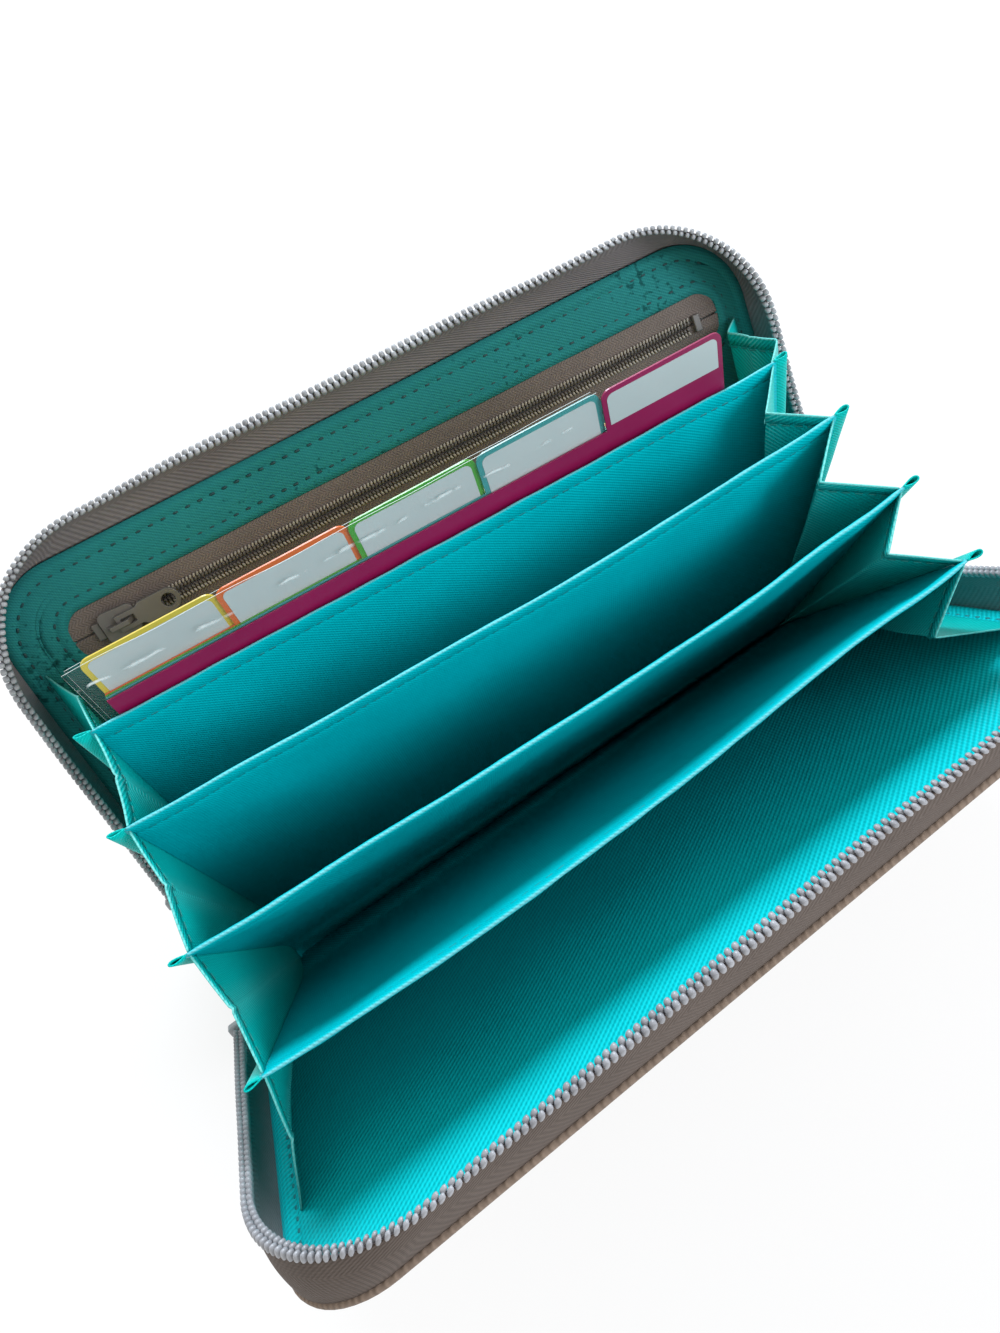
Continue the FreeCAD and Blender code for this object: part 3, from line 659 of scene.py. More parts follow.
def outer_cloth(index, name, side):
    """Outer cloth: rings of the cover's outline drawn in step by step, on a profile that rolls over
    the rim from the zip's seam and crowns slightly to the middle."""
    c, s = colours(), sizes()
    insets = np.array([2.0, 1.5, 1.15, 1.0, 1.1, 1.6, 2.5, 3.8, 6, 10, 18, 28, 38, 49.25]) * MM
    depths = np.array([1.35, 1.35, 1.5, 1.8, 2.25, 2.8, 3.2, 3.45, 3.55, 3.6, 3.7, 3.8, 3.9, 3.9]) * MM
    rings = np.stack([cover_outline(inset) for inset in insets])
    wave, span, fade = 0.18 * MM, 60 * MM, 8 * MM
    bump = wave * ripple(rings[..., 0], rings[..., 1], span, 3 + index)
    y = side * (depths[:, None] + bump * np.clip(insets[:, None] / fade, 0, 1))
    points = points_of(rings[..., 0], y, rings[..., 1])
    cloth = surface("coated_polyester_twill", outer_twill, c.outer, c.outer_shade)
    made = piece(name + "_outer_cloth", place(index, points), grid_faces(*rings.shape[:2], side < 0),
                 "outer_cloth", [cloth], rings, name + "_cover", (name + "_outer",), 0.5 * MM)
    stitch_inset, stitch_depth = 4.4 * MM, 3.72 * MM
    ring = cover_outline(stitch_inset)[RIM]
    line = points_of(ring[:, 0], side * stitch_depth, ring[:, 1])
    row = stitches(place(index, line), side * panel_frame(index)[0][:, 1], OUTER_STITCH)
    thread = surface("outer_thread", sewing_thread, linear("#75665a"), linear("#5a4d43"), 0.6)
    sewn = piece(name + "_outer_stitches", *row, "outer_cloth", [thread], body=name + "_cover")


def rolled_edge(distance, groove):
    """Height of a sewn edge by distance from the edge: tucked at 0, rolled, pulled down in the groove."""
    tuck, roll, pull, roll_place, sharp, soft = 0.45, 0.3, 0.25, 1.6 * MM, 0.6 * MM, 1.1 * MM
    return (-tuck * bell(distance, 0, sharp) + roll * bell(distance, roll_place, soft)
            - pull * bell(distance, groove, sharp)) * MM


def lining_cloth(index, name, side):
    """Lining: rings from the cover's edge in to the middle, or to the rolled edge of the zip window,
    raised by the rolled edges and a slow ripple."""
    c, s = colours(), sizes()
    edge, groove, window_groove = 1.55 * MM, 3.4 * MM, 2.9 * MM
    drawn = np.array([0, 0.3, 0.7, 1.2, 1.8, 2.4, 2.9, 3.4, 3.9, 4.6, 6, 8]) * MM
    outer = np.stack([cover_outline(edge + d) for d in drawn])
    lines = [cover_outline(edge + groove)[RIM]]
    if index == BACK:
        near = np.array([7, 5, 4, 3.4, 2.9, 2.4, 1.8, 1.2, 0.7, 0.3, 0]) * MM
        inner = np.stack([window_outline(-d) for d in near])
        share = np.linspace(0, 1, 9)[1:-1, None, None]
        middle = outer[-1] * (1 - share) + inner[0] * share
        inner_height = rolled_edge(near, window_groove)
        lines.append(window_outline(-window_groove))
        weave, hidden, sunk = worn_twill_lining, "pocket_bag", linear("#0b4648")
    else:
        inner = np.stack([cover_outline(d * MM) for d in (14, 20, 27, 34, 41, 49.25)])
        middle, inner_height = inner[:0], np.zeros(len(inner))
        weave, hidden, sunk = heavy_twill_lining, "front_padding", c.thread
    rings = np.concatenate([outer, middle, inner])
    height = np.concatenate([rolled_edge(drawn, groove), np.zeros(len(middle)), inner_height])[:, None]
    wave, span = 0.3 * MM, 38 * MM
    height = height + wave * ripple(rings[..., 0], rings[..., 1], span, 21 + index)
    points = points_of(rings[..., 0], -side * height, rings[..., 1])
    tone, shade = getattr(c, name + "_lining"), getattr(c, name + "_lining_shade")
    cloth = surface(name + "_polyester_twill", weave, tone, shade)
    made = piece(name + "_lining_cloth", place(index, points), grid_faces(*rings.shape[:2], side > 0),
                 "lining_cloth", [cloth], rings, name + "_cover", (name + "_lining", hidden), 0.35 * MM)
    thread = surface(name + "_lining_thread", sewing_thread, sunk, dimmed(sunk), 0.6)
    sink = 0.08 * MM
    up = -side * panel_frame(index)[0][:, 1]
    rows = [stitches(place(index, points_of(line[:, 0], side * sink, line[:, 1])), up, LINING_STITCH)
            for line in lines]
    sewn = piece(name + "_lining_stitches", *joined(*rows), "lining_cloth", [thread], body=name + "_cover")


class WALLET_OT_covers(bpy.types.Operator):
    """Outer cloth and lining of both covers, with their rows of stitches"""
    bl_idname = "wallet.covers"
    bl_label = "Covers"

    def execute(self, context):
        for index, name, side in COVERS:
            outer_cloth(index, name, side)
            lining_cloth(index, name, side)
        board = surface("grey_board", grey_board, linear("#8b8a86"), linear("#6f6d69"))
        for name in ("back_board", "front_board"):
            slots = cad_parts[name].data.materials
            slots.clear()
            slots.append(board)
        return {"FINISHED"}


def main_coil(index, side, points):
    """Two rows of coil turns along a tape's free edge, one on either face, half a pitch apart."""
    pitch = sizes().chain_pitch
    edge, inner = place(index, points[-1]), place(index, points[-3])
    stand = unit(edge - inner)
    places, heading, (stands,) = resample(edge[2:-4], pitch, stand[2:-4])
    stands = unit(stands)
    across = np.cross(heading, stands)
    turns = np.stack([across, np.cross(across, stands), stands], -1)
    wide, high, blunt, stand_off = 1.3 * MM, 2.1 * MM, 0.55, 0.75 * MM
    rows = []
    for offset, long, shift in ((-0.62 * MM, 1.4 * MM, 0), (0.68 * MM, 1.35 * MM, 0.5)):
        seat = places + stands * stand_off + across * offset * side + heading * shift * pitch
        rows.append(strew(pill(long, wide, high, blunt), seat, turns))
    return joined(*rows)


class WALLET_OT_main_zip(bpy.types.Operator):
    """Zip tape and nylon coil round both covers, with the end stops"""
    bl_idname = "wallet.main_zip"
    bl_label = "Main zip"

    def execute(self, context):
        c, s = colours(), sizes()
        inside = surface("herringbone_tape", herringbone, c.main_tape, c.main_tape_shade)
        # The outside of the tapes takes the tone painted darker for shade
        outside = surface("handled_herringbone_tape", herringbone, c.shadowed_tape, c.shadowed_tape_shade)
        share, count = np.linspace(0, 1, 14), 321
        for index, name, side in COVERS:
            cover = name + "_cover"
            coil = surface(name + "_nylon_coil", nylon_coil, getattr(c, name + "_coil"), c.coil_shade, 0.36)
            points, way = tape_points(index, side, share, count)
            uv = points_of(way[None], share[:, None] * math.hypot(s.tape_height, s.tape_splay))
            tape = piece(name + "_zip_tape_cloth", place(index, points),
                         grid_faces(len(share), count, side < 0), "zip_tape", [inside, outside], uv, cover,
                         (name + "_zip_tape",), 0.55 * MM)
            tape.modifiers[0].material_offset = 1
            piece(name + "_coil", *main_coil(index, side, points), "zip_coil", [coil], body=cover,
                  replaces=(name + "_zip_teeth",))
            softened(name + "_zip_stop", cover, coil, 0.3 * MM)
        return {"FINISHED"}


def pocket_coil(sign):
    """Turns of one coil and the chain stitch on it, tilted toward the middle of the zip."""
    s = sizes()
    count, pitch, tilt = 176, 0.9 * MM, math.radians(22 * sign)
    along = (np.arange(count) - (count - 1) / 2) * pitch + sign * pitch / 4 + s.pocket_shift
    sine, cosine = math.sin(tilt), math.cos(tilt)
    lay = panel_frame(BACK)[0] @ np.array([[sine, cosine, 0], [0, 0, 1], [cosine, -sine, 0]])
    rows = []
    for shape, rise, sink in ((pill(1.25 * MM, 0.8 * MM, 1.0 * MM, 0.7), 0.74 * MM, 0.2 * MM),
                              (pill(1.1 * MM, 0.62 * MM, 0.7 * MM, 0.8), 1.66 * MM, 0.45 * MM)):
        seat = points_of(along, -sink, s.pocket_rise + sign * rise)
        rows.append(strew(shape, place(BACK, seat), np.broadcast_to(lay, (count, 3, 3))))
    return rows


class WALLET_OT_pocket_zip(bpy.types.Operator):
    """Tapes, coil rows and end bars of the zip pocket in the back lining"""
    bl_idname = "wallet.pocket_zip"
    bl_label = "Pocket zip"

    def execute(self, context):
        c, s = colours(), sizes()
        weave = surface("fine_pocket_tape", speckled_tape, c.tape, c.tape_shade)
        coil = surface("pocket_nylon_coil", nylon_coil, c.pocket_coil, dimmed(c.pocket_coil), 0.4)
        chain_stitch = surface("coil_chain_stitch", sewing_thread, linear("#b6ada2"), linear("#8b8379"), 0.55)
        margin = 2 * MM
        x = np.linspace(-s.pocket_half - margin, s.pocket_half + margin, 120)
        drop = np.array([0.2, 0.5, 1.0, 2.2, 3.2, 4.6, 6, 8, 10.4]) * MM
        lift = np.array([0.1, 0.0, 0.05, 0.12, 0.1, 0.2, 0.3, 0.4, 0.4]) * MM
        wave, span, seat = 0.12 * MM, 30 * MM, 0.25 * MM
        depth = lift[:, None] + wave * ripple(x, 0, span, 5)[None] + seat
        for sign, half in ((1, "upper"), (-1, "lower")):
            grid = points_of(x[None] + s.pocket_shift, depth, s.pocket_rise + sign * drop[:, None])
            tape = piece("pocket_tape_%s_cloth" % half, place(BACK, grid),
                         grid_faces(len(drop), len(x), sign > 0), "zip_tape", [weave],
                         points_of(x[None], sign * drop[:, None]), "back_cover",
                         ("pocket_zip_tape_" + half,), 0.3 * MM)
            rows = pocket_coil(sign)
            piece("pocket_coil_" + half, *joined(*rows), "zip_coil", [coil, chain_stitch], body="back_cover",
                  replaces=("pocket_zip_coil_" + half,), which=np.repeat([0, 1], [len(f) for _, f in rows]))
        metal = surface("painted_zinc", painted_zinc, c.metal)
        softened("pocket_zip_stops", "back_cover", metal, 0.25 * MM)
        return {"FINISHED"}


class WALLET_OT_sliders(bpy.types.Operator):
    """Sliders and pulls of both zips, with eased edges"""
    bl_idname = "wallet.sliders"
    bl_label = "Sliders"

    def execute(self, context):
        metal = surface("painted_zinc", painted_zinc, colours().metal)
        for node in ("main_slider", "main_pull", "pocket_slider", "pocket_pull"):
            softened(node, node, metal, 0.18 * MM)
        return {"FINISHED"}


def divider_sway(index, x, z):
    """How far a divider's cloth stands off its flat plane: a bow along its length that grows with the
    square of the height and a slow ripple, both 0 at the gusset seams, and a soft fold that the seams
    pull slantwise down from either top corner."""
    s = sizes()
    share = np.clip(z / s.divider_height, 0, 1)
    along = np.clip((x / s.divider_half + 1) / 2, 0, 1)
    middle, skew = {1: (-0.6, 0.2), 2: (-1.7, 0.3), 3: (-2.4, 0.4), 4: (-2.2, -0.8)}[index]
    held = 1 - (2 * along - 1) ** 8
    bow = middle * np.sin(math.pi * along) + skew * np.sin(2 * math.pi * along)
    amount, span = 0.12 if index == 1 else 0.5, 42 * MM
    wave = amount * ripple(x, z, span, 40 + index) * held * np.sin(math.pi * np.clip(share, 0, 0.75) / 1.5)
    pull, dip, inward, downward = 0, 0.55, 0.75, 0.66
    for end, reach in ((-1, 46 * MM), (1, 34 * MM)):
        run, drop = s.divider_half - end * x, s.divider_height - z
        down = (run * inward + drop * downward) / reach
        off = run * downward - drop * inward
        pull = pull - dip * bell(off, 3 * MM, 7 * MM) * np.clip(down * 3, 0, 1) * np.clip(1.6 - down, 0, 1)
    return (bow * share ** 2 + wave + pull) * MM


def divider_panel(index):
    """A sheet folded over at the top: its section runs up the front, over the hem and down the back,
    half its thickness on either side of the plane, pinched at the stitch line and at the end seams."""
    s, c = sizes(), colours()
    name = "divider_%d" % index
    foot, foot_spread, hem_start, hem_depth = -2.8 * MM, 11 * MM, 74 * MM, 8 * MM
    seam_rise, seam_lift = 78.7 * MM, 0.26 * MM
    rise = np.array([-2.8, 2, 8, 16, 24, 32, 40, 48, 56, 63, 69, 73.5, 76.4, 77.6, 78.3, 78.7, 79.1,
                     79.8, 80.6, 81.3, 81.8, 82]) * MM
    half = np.array([.42] * 13 + [.4, .3, .18, .3, .46, .5, .44, .3, .06]) * MM
    z = np.concatenate([rise, rise[-2::-1]])
    y = np.concatenate([-half, half[-2::-1]])
    x = np.linspace(-s.divider_half, s.divider_half, 165)
    pinch = 1 - 0.55 * bell(np.abs(x), s.divider_half, 2.2 * MM)
    hem = np.clip((z - hem_start) / hem_depth, 0, 1)[:, None]
    edge = 0.22 * MM * ripple(x, 0, 13 * MM, 60 + index)[None] * hem * pinch
    bulge = 1 + 0.25 * ripple(x, 0, 7 * MM, 70 + index)[None] * hem
    grid_x = np.broadcast_to(x[None], (len(z), len(x)))
    grid_z = z[:, None] + edge
    low = np.clip(1 - (grid_z - foot) / foot_spread, 0, 1)
    spread = divider_room(index, np.sign(y)[:, None], grid_x) * (1 - np.sqrt(1 - low ** 2))
    sway = divider_sway(index, grid_x, grid_z)
    grid_y = y[:, None] * pinch * bulge + np.sign(y)[:, None] * spread + sway
    run = np.concatenate([[0], np.cumsum(np.hypot(np.diff(z), np.diff(y)))])
    cloth = surface("hemmed_polyester_twill", hemmed_twill, c.lining, c.lining_shade)
    made = piece(name + "_cloth", place(index, points_of(grid_x, grid_y, grid_z)),
                 grid_faces(len(z), len(x), True), "lining_cloth", [cloth],
                 points_of(x[None], run[:, None] - run[-1] / 2), name, (name,), 0.3 * MM)
    rows = []
    seam = x[3:-3]
    for side in (-1, 1):
        depth = side * seam_lift + divider_sway(index, seam, seam_rise + 0 * seam)
        line = place(index, points_of(seam, depth, seam_rise))
        rows.append(stitches(line, side * panel_frame(index)[0][:, 1], HEM_STITCH))
    # The hem thread is darker than the cloth, partly as painted shade in the dents its stitches pull
    thread = surface("hem_thread", sewing_thread, linear("#04858b"), linear("#03686d"), 0.55)
    hemmed = piece(name + "_stitches", *joined(*rows), "lining_cloth", [thread], body=name)
    return made, hemmed, run[-1]


def divider_room(index, side, x):
    """Half the distance along y from a divider's foot to its neighbour's, on either side of it."""
    s = sizes()
    at = x / s.cover_width + 0.5

    def fold(k):
        return s.fold_half_left * s.panel_left[k] * (1 - at) + s.fold_half_right * s.panel_right[k] * at

    behind, before = fold(index - 1) - fold(index), fold(index) - fold(index + 1)
    return np.where(side > 0, behind, before) / 2 - 0.5 * MM


def divider_loop(index, end):
    """Sewn loop past an end seam: an eye-shaped section, x out by sin(t) and y by -sin(2t), that is
    fuller toward the top, where it stands open."""
    s, c = sizes(), colours()
    body = "divider_%d" % index
    t = np.linspace(0, math.pi, 25)[None]
    z = np.array([-1, 4, 10, 18, 28, 38, 48, 58, 66, 72, 77, 80, 82.3])[:, None] * MM
    share = np.clip(z / s.divider_height, 0, 1)
    out = (1.6 + 1.8 * share ** 2) * MM + 0.2 * MM * ripple(z, 0, 20 * MM, 90 + index + end)
    x = end * (s.divider_half - 0.4 * MM + out * np.sin(t))
    y = -(0.25 + 0.27 * share ** 4) * MM * np.sin(2 * t) * (1 + 0.2 * end)
    points = points_of(x, y, z + 0.5 * MM * share ** 8 * np.sin(t) ** 2)
    cloth = surface("loop_polyester_twill", twill_lining, c.gusset, c.gusset_shade)
    return piece(body + "_loop_" + ("left" if end < 0 else "right"), place(index, points),
                 grid_faces(len(z), t.size, end < 0), "lining_cloth", [cloth], points_of(t * 4 * MM, z),
                 body, (), 0.3 * MM)


class WALLET_OT_dividers(bpy.types.Operator):
    """Four cloth dividers, each folded over at its hem, with the sewn loops at their ends"""
    bl_idname = "wallet.dividers"
    bl_label = "Dividers"

    def execute(self, context):
        for index in range(1, 5):
            made, hemmed, cut = divider_panel(index)
            loops = [divider_loop(index, end) for end in (-1, 1)]
            for soft in (made, hemmed):
                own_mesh(soft)
        return {"FINISHED"}


def crease_way(knots, offsets, share):
    """Inward offset across a gusset: straight between its folds, each fold rounded by averaging the
    way over a short span."""
    span = np.linspace(-0.025, 0.025, 9)
    return np.interp(np.clip(share[:, None] + span, 0, 1), knots, offsets).mean(1)


def gusset_edge(panel_index, facing, side, rise):
    """Line on a panel where a gusset is sewn, at the heights in rise."""
    s = sizes()
    cover = panel_index in (BACK, FRONT)
    half = s.gusset_cover_half if cover else s.divider_half - 0.6 * MM
    depth = facing * (0.3 if cover else 0.35) * MM
    return place(panel_index, points_of(side * half, depth, rise))


def gusset_tops(pocket):
    """Heights of a gusset's top edge on the panels behind and before it."""
    high = sizes().divider_height
    rises = {BACK: high - 8 * MM, FRONT: high - 12 * MM}
    return [rises.get(index, high - 0.6 * MM) for index in (pocket - 1, pocket)]


def gusset_wall(pocket, side, share, up):
    """Points of a gusset: between its two sewn lines at each height, folded inward by the depth that
    its cut width leaves over, with a rounded crease and a little slack. The right-hand ones have some
    depth to spare. It gives half the cut width at the top too."""
    back_top, front_top = gusset_tops(pocket)
    low, foot_half, least_depth, taut_share = -0.3 * MM, 4 * MM, 0.8 * MM, 1.005
    rear = gusset_edge(pocket - 1, -1, side, low + (back_top - low) * up)
    front = gusset_edge(pocket, 1, side, low + (front_top - low) * up)
    left_rear = gusset_edge(pocket - 1, -1, -1, np.array([back_top]))[0]
    left_front = gusset_edge(pocket, 1, -1, np.array([front_top]))[0]
    top_half = taut_share * np.linalg.norm(left_front - left_rear) / 2
    half = foot_half + (top_half - foot_half) * up
    gap = np.linalg.norm(front - rear, axis=1) / 2
    spare = (side > 0) * (11 if pocket == 5 else 3) * MM
    depth = np.sqrt(np.maximum(half ** 2 - gap ** 2, least_depth ** 2)) + spare * up
    way = crease_way([0, 0.5, 1], [0, 1, 0], share)
    line = rear[:, None] * (1 - share[None, :, None]) + front[:, None] * share[None, :, None]
    if pocket == 1 and side > 0:
        way = crease_way([0, 0.3, 0.72, 1], [0, 0.6, -0.55, 0], share)
        line[..., 2] += 3 * MM * bell(share, 0.3, 0.25)[None] * up[:, None] ** 4
    across, along = np.meshgrid(share * 30 * MM, up * 70 * MM)
    wave, span, press, press_width = 0.35 * MM, 22 * MM, 0.3 * MM, 0.016
    slack = wave * ripple(across, along, span, 100 + 7 * pocket + side)
    slack = slack * np.sin(math.pi * share)[None] + press * bell(share, 0.5, press_width)[None]
    inward = np.array([-side, 0, 0])
    return line + inward * (depth[:, None] * way[None] + slack)[..., None], top_half


def gusset(pocket, side, end, cloth, thread):
    """One gusset with its turned hem and stitches. Its cut is the section's length at each height by
    the mean of the two sewn lines."""
    share = np.linspace(0, 1, 41)
    up = np.concatenate([np.linspace(0, 0.95, 22), [0.97, 0.985, 0.996, 0.9985, 1.0]])
    hem = np.array([1.0, 0.9985, 0.996, 0.985, 0.965])
    hem_lift = np.array([0.1, 0.18, 0.2, 0.24, 0.2]) * MM
    seam_share, seam_lift, map_height = np.array([0.96]), 0.34 * MM, 68 * MM
    points, top_half = gusset_wall(pocket, side, share, up)
    turned, _ = gusset_wall(pocket, side, share, hem)
    normal = unit(np.cross(np.gradient(points, axis=1)[-1], np.gradient(points, axis=0)[-2]))
    normal = normal * np.sign(-side * normal[:, :1] + 1e-9)
    grid = np.concatenate([points, turned + normal[None] * hem_lift[:, None, None]])
    v = (np.concatenate([up, 2 - hem]) - 1) * map_height
    index = min(pocket, 4)
    body, name = "divider_%d" % index, "gusset_%s_%d" % (end, pocket)
    uv = points_of((2 * share[None] - 1) * top_half, v[:, None])
    made = piece(name + "_cloth", grid, grid_faces(len(grid), len(share), side > 0), "lining_cloth",
                 [cloth], uv, body, (name,), 0.2 * MM)
    seam, _ = gusset_wall(pocket, side, share, seam_share)
    row = stitches(seam[0, 2:-2] + normal[2:-2] * seam_lift, normal[2:-2], GUSSET_STITCH)
    sewn = piece(name + "_stitches", *row, "lining_cloth", [thread], body=body)
    for soft in (made, sewn):
        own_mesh(soft)


class WALLET_OT_gussets(bpy.types.Operator):
    """Ten folded end walls between the panels"""
    bl_idname = "wallet.gussets"
    bl_label = "Gussets"

    def execute(self, context):
        c = colours()
        cloth = surface("gusset_polyester_twill", creased_twill, c.gusset, c.gusset_shade)
        thread = surface("gusset_thread", sewing_thread, linear("#088f89"), linear("#066e69"), 0.55)
        for pocket in range(1, 6):
            for side, end in ((-1, "left"), (1, "right")):
                gusset(pocket, side, end, cloth, thread)
        return {"FINISHED"}


def card_depth(number):
    """Front face of a card behind the first divider; the last card stands in front of the sleeve."""
    return (1.0 if number == 5 else 1.85 + (4 - number) * 0.55) * MM


def tab_card(number, tone):
    """One printed card with a rounded tab at its own place, and the paper label on that tab."""
    c, s = colours(), sizes()
    last = number == len(CARD_TONES)
    base, tab = 10 * MM, s.card_width / len(CARD_TONES)
    left, right, top = s.card_left, s.card_left + s.card_width, s.card_top + s.card_tab
    start = left + (number - 1) * tab
    end = start + tab
    parts = [[[left, base], [right, base]]]
    if not last:
        parts.append([[right, s.card_top], [end, s.card_top]])
    parts.append(round_top(start, end, top, 2.2 * MM))
    if number > 1:
        parts.append([[start, s.card_top], [left, s.card_top]])
    front, thickness, label_thickness = card_depth(number), 0.4 * MM, 0.07 * MM
    points, faces = prism(np.concatenate(parts), front, front + thickness)
    rim, deep = 1.15 * MM, (7.6 if last else 14) * MM
    foot = top - rim - deep
    label = np.concatenate([[[start + rim, foot], [end - rim, foot]],
                            round_top(start + rim, end - rim, top - rim, 1.5 * MM)])
    stuck, label_faces = prism(label, front - label_thickness, front)
    which = [0] * len(faces) + [1] * len(label_faces)
    faces += [[k + len(points) for k in face] for face in label_faces]
    # The label's grey tones are painted shade on white paper
    paper = surface("label_paper", label_paper, c.label, linear("#a9b2b2"))
    printed = surface("printed_card_" + tone, printed_card, getattr(c, tone))
    made = piece("tab_card_%d" % number, place(1, np.concatenate([points, stuck])), faces, "card_" + tone,
                 [printed, paper], body="card_%d" % number, replaces=("card_%d" % number,), which=which)
    made.data.polygons.foreach_set("use_smooth", np.zeros(len(made.data.polygons), bool))


def card_sleeve():
    """Clear film folded under the cards: its section runs down the front, round the fold and up the
    back, with an uneven top edge that steps down behind the last card's tab, and shallow crumples."""
    s = sizes()
    film = surface("clear_pvc_film", clear_film, linear("#eef3f2"))
    rim = surface("cut_film_edge", cut_film, linear("#e9f2f0"), linear("#cfdcda"))
    left, right = s.card_left - 3 * MM, s.card_left + s.card_width - 0.5 * MM
    x = np.linspace(left, right, 148)[None]
    step = np.clip((x - s.card_left - 0.8 * s.card_width) / (2 * MM), 0, 1)
    top = (96.3 - 12.5 * step) * MM + 0.5 * MM * ripple(x, 0, 24 * MM, 7)
    count, base, back_drop = 30, 9.2 * MM, 1.6 * MM
    share = np.linspace(0, 1, count)[:, None]
    front = base + (top - base) * share[::-1]
    back = base + (top - back_drop - base) * share
    z = np.concatenate([front, back])
    lip = np.clip((z - 70 * MM) / (25 * MM), 0, 1) ** 2 * (1 + ripple(x, 0, 17 * MM, 8))

    def halves(before, behind):
        return np.repeat([[before], [behind]], count, 0)

    y = halves(1.62, 4.12) * MM + halves(-0.12, 0.3) * MM * lip
    points = points_of(x, y, z)
    # The back half's map is moved up by 0.2 m, so that the painted glint line shows on the front only
    uv = points[..., [0, 2]] + halves(0.0, 0.2)[..., None] * [0, 1]
    made = piece("card_sleeve_film", place(1, points), grid_faces(2 * count, x.size), "clear_film",
                 [film, rim], uv, "card_sleeve", ("card_sleeve",), 0.14 * MM)
    made.modifiers[0].material_offset_rim = 1


class WALLET_OT_cards(bpy.types.Operator):
    """Five tab cards and the clear sleeve round four of them"""
    bl_idname = "wallet.cards"
    bl_label = "Cards"

    def execute(self, context):
        for number, tone in enumerate(CARD_TONES, 1):
            tab_card(number, tone)
        card_sleeve()
        return {"FINISHED"}


class WALLET_OT_spine(bpy.types.Operator):
    """Cloth round the fold in two halves, and the lining strip inside it"""
    bl_idname = "wallet.spine"
    bl_label = "Spine"

    def execute(self, context):
        c, s = colours(), sizes()
        cloth = surface("coated_polyester_twill", outer_twill, c.outer, c.outer_shade)
        x = np.linspace(-97, 97, 80)[:, None] * MM
        slope = (s.fold_half_right - s.fold_half_left) / s.cover_width
        fold = (s.fold_half_left + s.fold_half_right) / 2 + slope * x
        lean = math.radians(s.panel_leans[BACK])
        rise = np.array([2.2, 3, 4, 5.5, 7, 8.5, 10, 10.8, 11.0]) * MM
        out = np.array([4.3, 4.3, 4.3, 4.3, 4.35, 4.4, 4.4, 4.3, 4.0]) * MM
        lip = fold + (rise - s.fold_height) * math.tan(lean) + out / math.cos(lean)
        keel_rise, keel_out = 0.4 * MM, 4.0 * MM
        keel = fold + (keel_rise - s.fold_height) * math.tan(lean) + keel_out / math.cos(lean)
        across = np.array([0, 0.2, 0.4, 0.6, 0.8, 0.93, 1.0])
        floor = np.array([0.5, 0.5, 0.5, 0.5, 0.5, 0.6, 1.1]) * MM
        z = np.concatenate([floor, rise])[None]
        for _, name, side in COVERS:
            y = np.concatenate([keel * across, lip], 1) * side
            run = np.cumsum(np.hypot(np.diff(y, axis=1, prepend=0), np.diff(z, axis=1, prepend=0)), 1)
            made = piece("spine_cloth_" + name, points_of(x, y, z), grid_faces(*y.shape, side > 0),
                         "outer_cloth", [cloth], points_of(x, run), replaces=("spine_wrap",),
                         thickness=0.8 * MM)
            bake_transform(made)
        share = np.linspace(-1, 1, 15)
        gap, lining_rise, wave, span, length_share = 1.2 * MM, 1.35 * MM, 0.12 * MM, 25 * MM, 0.92
        floor = (fold - gap) * share
        height = lining_rise + wave * ripple(x + 0 * floor, floor, span, 4)
        points = points_of(x * length_share, floor, height)
        lining = surface("satin_polyester_twill", twill_lining, c.lining, c.lining_shade)
        strip = piece("spine_lining_cloth", points, grid_faces(*floor.shape), "lining_cloth", [lining],
                      points[..., :2], "spine", ("spine_lining",), 0.35 * MM)
        return {"FINISHED"}


def lamp(name, where, aim, size, power, colour):
    """Round soft light at a place, turned to what it lights."""
    light = bpy.data.lights.new(name, "AREA")
    light.shape, light.size, light.energy, light.color = "DISK", size, power, colour
    toward = unit(np.array(where) - np.array(aim))
    side = unit(np.cross([0, 0.01, 1], toward))
    turn = np.stack([side, np.cross(toward, side), toward], -1)
    linked(name, light).matrix_world = Matrix.Translation(where) @ Matrix(turn.tolist()).to_4x4()


def paper_floor():
    """Sheet of white paper that is lit as paper and seen nearly white, as in an overexposed photo."""
    paper, tree, shader = shader_of("white_paper_sweep", Base_Color=(0.86, 0.86, 0.86, 1), Roughness=0.9)
    reach, count, drop, white_share = 1.5, 9, 0.3 * MM, 0.82
    path = add(tree, "LightPath")
    seen = add(tree, "Math", [path["Is Camera Ray"], path["Is Glossy Ray"]], "MAXIMUM")[0]
    seen = add(tree, "Math", [seen, path["Is Transmission Ray"]], "MAXIMUM")[0]
    part = add(tree, "Math", [seen, white_share], "MULTIPLY")[0]
    glow = add(tree, "Emission", {"Color": (1, 1, 1, 1), "Strength": 1.0})[0]
    mix = add(tree, "MixShader", [part, shader.outputs[0], glow])[0]
    tree.links.new(mix, tree.nodes["Material Output"].inputs["Surface"])
    u = np.linspace(-reach, reach, count)
    points = points_of(u[None], u[:, None], -drop)
    mesh = bpy.data.meshes.new("floor")
    mesh.from_pydata(points.reshape(-1, 3).tolist(), [], grid_faces(count, count).tolist())
    mesh.materials.append(paper)
    floor = linked("floor", mesh)


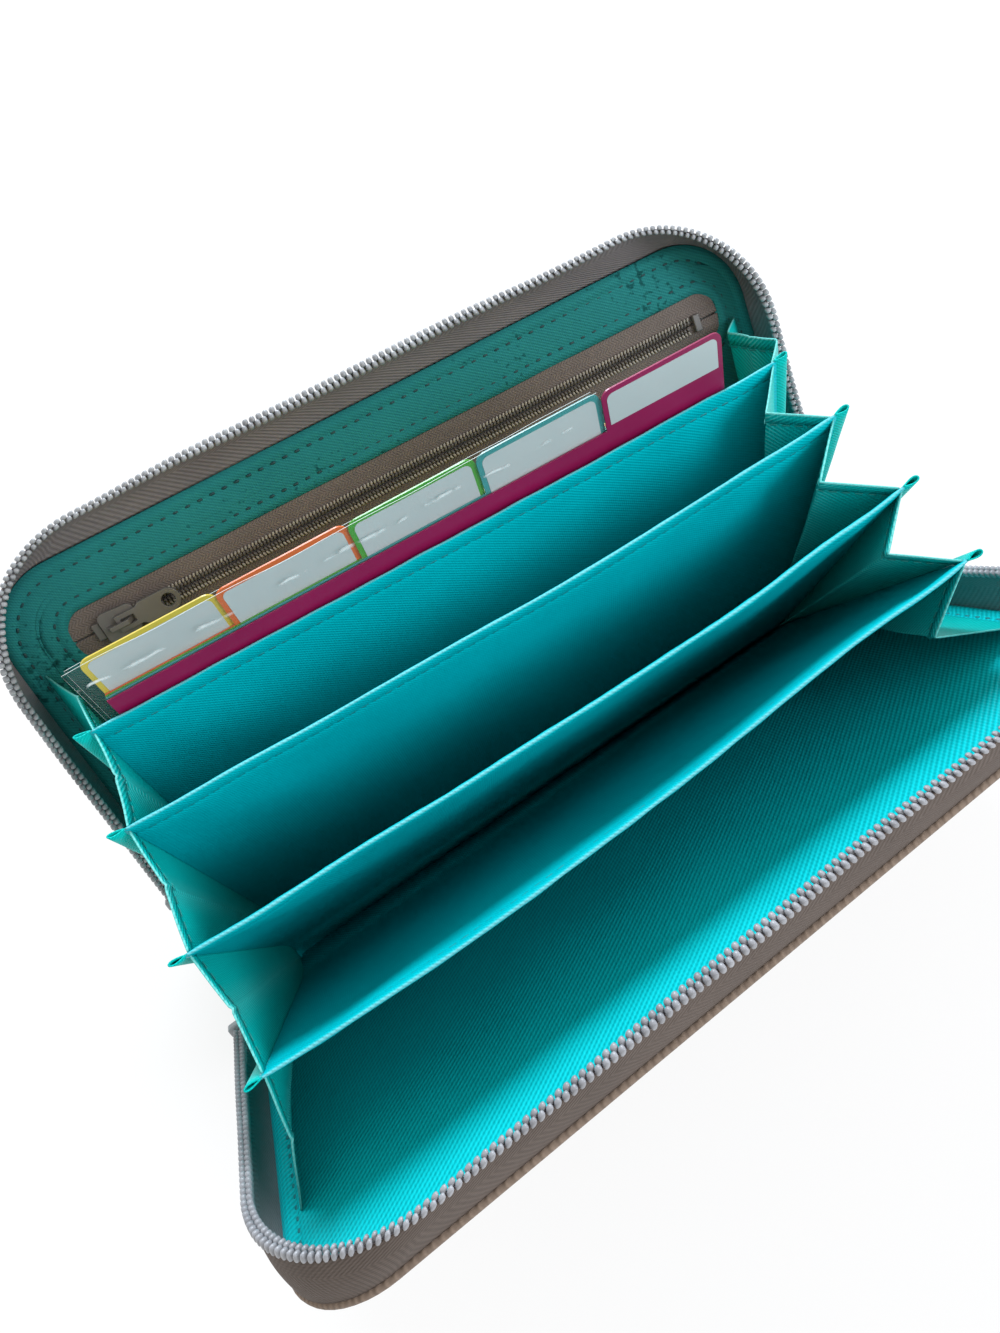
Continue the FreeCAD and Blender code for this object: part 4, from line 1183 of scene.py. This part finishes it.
class WALLET_OT_stage(bpy.types.Operator):
    """Pale floor, soft studio light and the camera"""
    bl_idname = "wallet.stage"
    bl_label = "Stage"

    def execute(self, context):
        scene = context.scene
        scene.view_settings.view_transform = "Standard"
        paper_floor()
        world = bpy.data.worlds.new("soft_room")
        world.use_nodes = True
        scene.world = world
        sky = world.node_tree.nodes["Background"]
        sky.inputs["Color"].default_value = (1, 0.995, 0.97, 1)
        sky.inputs["Strength"].default_value = 0.78
        lamp("window", (0.14, 0.8, 0.55), (0, -0.04, 0.06), 0.38, 12.6, (0.82, 0.9, 1))
        lamp("room_fill", (0.55, -0.5, 0.6), (0, 0, 0.06), 0.5, 5.8, (0.84, 0.9, 1))

        camera = bpy.data.cameras.new("photo_view")
        focal_pixels, frame_pixels, sensor = 960.1, 1333, 36
        camera.sensor_fit, camera.sensor_height = "VERTICAL", sensor
        camera.lens = focal_pixels / frame_pixels * sensor
        camera.clip_start = 0.01
        right, down = (0.8379, -0.5336, -0.1148), (-0.5303, -0.7461, -0.4026)
        ahead, eye = (0.1292, 0.3983, -0.9081), (-0.0297, -0.07662, 0.25467)
        turn = Matrix(np.stack([right, -np.array(down), -np.array(ahead)], -1).tolist())
        scene.camera = linked("photo_view", camera)
        scene.camera.matrix_world = Matrix.Translation(eye) @ turn.to_4x4()
        return {"FINISHED"}


PIECES = (WALLET_OT_stage, WALLET_OT_covers, WALLET_OT_main_zip, WALLET_OT_pocket_zip, WALLET_OT_sliders,
          WALLET_OT_spine, WALLET_OT_dividers, WALLET_OT_gussets, WALLET_OT_cards)


class WALLET_PT_pieces(bpy.types.Panel):
    """Wallet pieces and their sizes"""
    bl_label = "Coupon organizer wallet"
    bl_space_type = "VIEW_3D"
    bl_region_type = "UI"
    bl_category = "Wallet"

    def draw(self, context):
        for operator in PIECES:
            self.layout.operator(operator.bl_idname)
        for group in (context.scene.wallet_sizes, context.scene.wallet_colours):
            for name in group.bl_rna.properties.keys():
                if name not in ("rna_type", "name"):
                    self.layout.prop(group, name)


CLASSES = (WalletSizes, WalletColours) + PIECES + (WALLET_PT_pieces,)


def register():
    for made in CLASSES:
        bpy.utils.register_class(made)
    bpy.types.Scene.wallet_sizes = PointerProperty(type=WalletSizes)
    bpy.types.Scene.wallet_colours = PointerProperty(type=WalletColours)


def unregister():
    del bpy.types.Scene.wallet_sizes, bpy.types.Scene.wallet_colours
    for made in reversed(CLASSES):
        bpy.utils.unregister_class(made)


def main():
    """Build the pieces and the stage."""
    register()
    for operator in PIECES:
        group, name = operator.bl_idname.split(".")
        getattr(getattr(bpy.ops, group), name)()


if __name__ == "__main__":
    main()
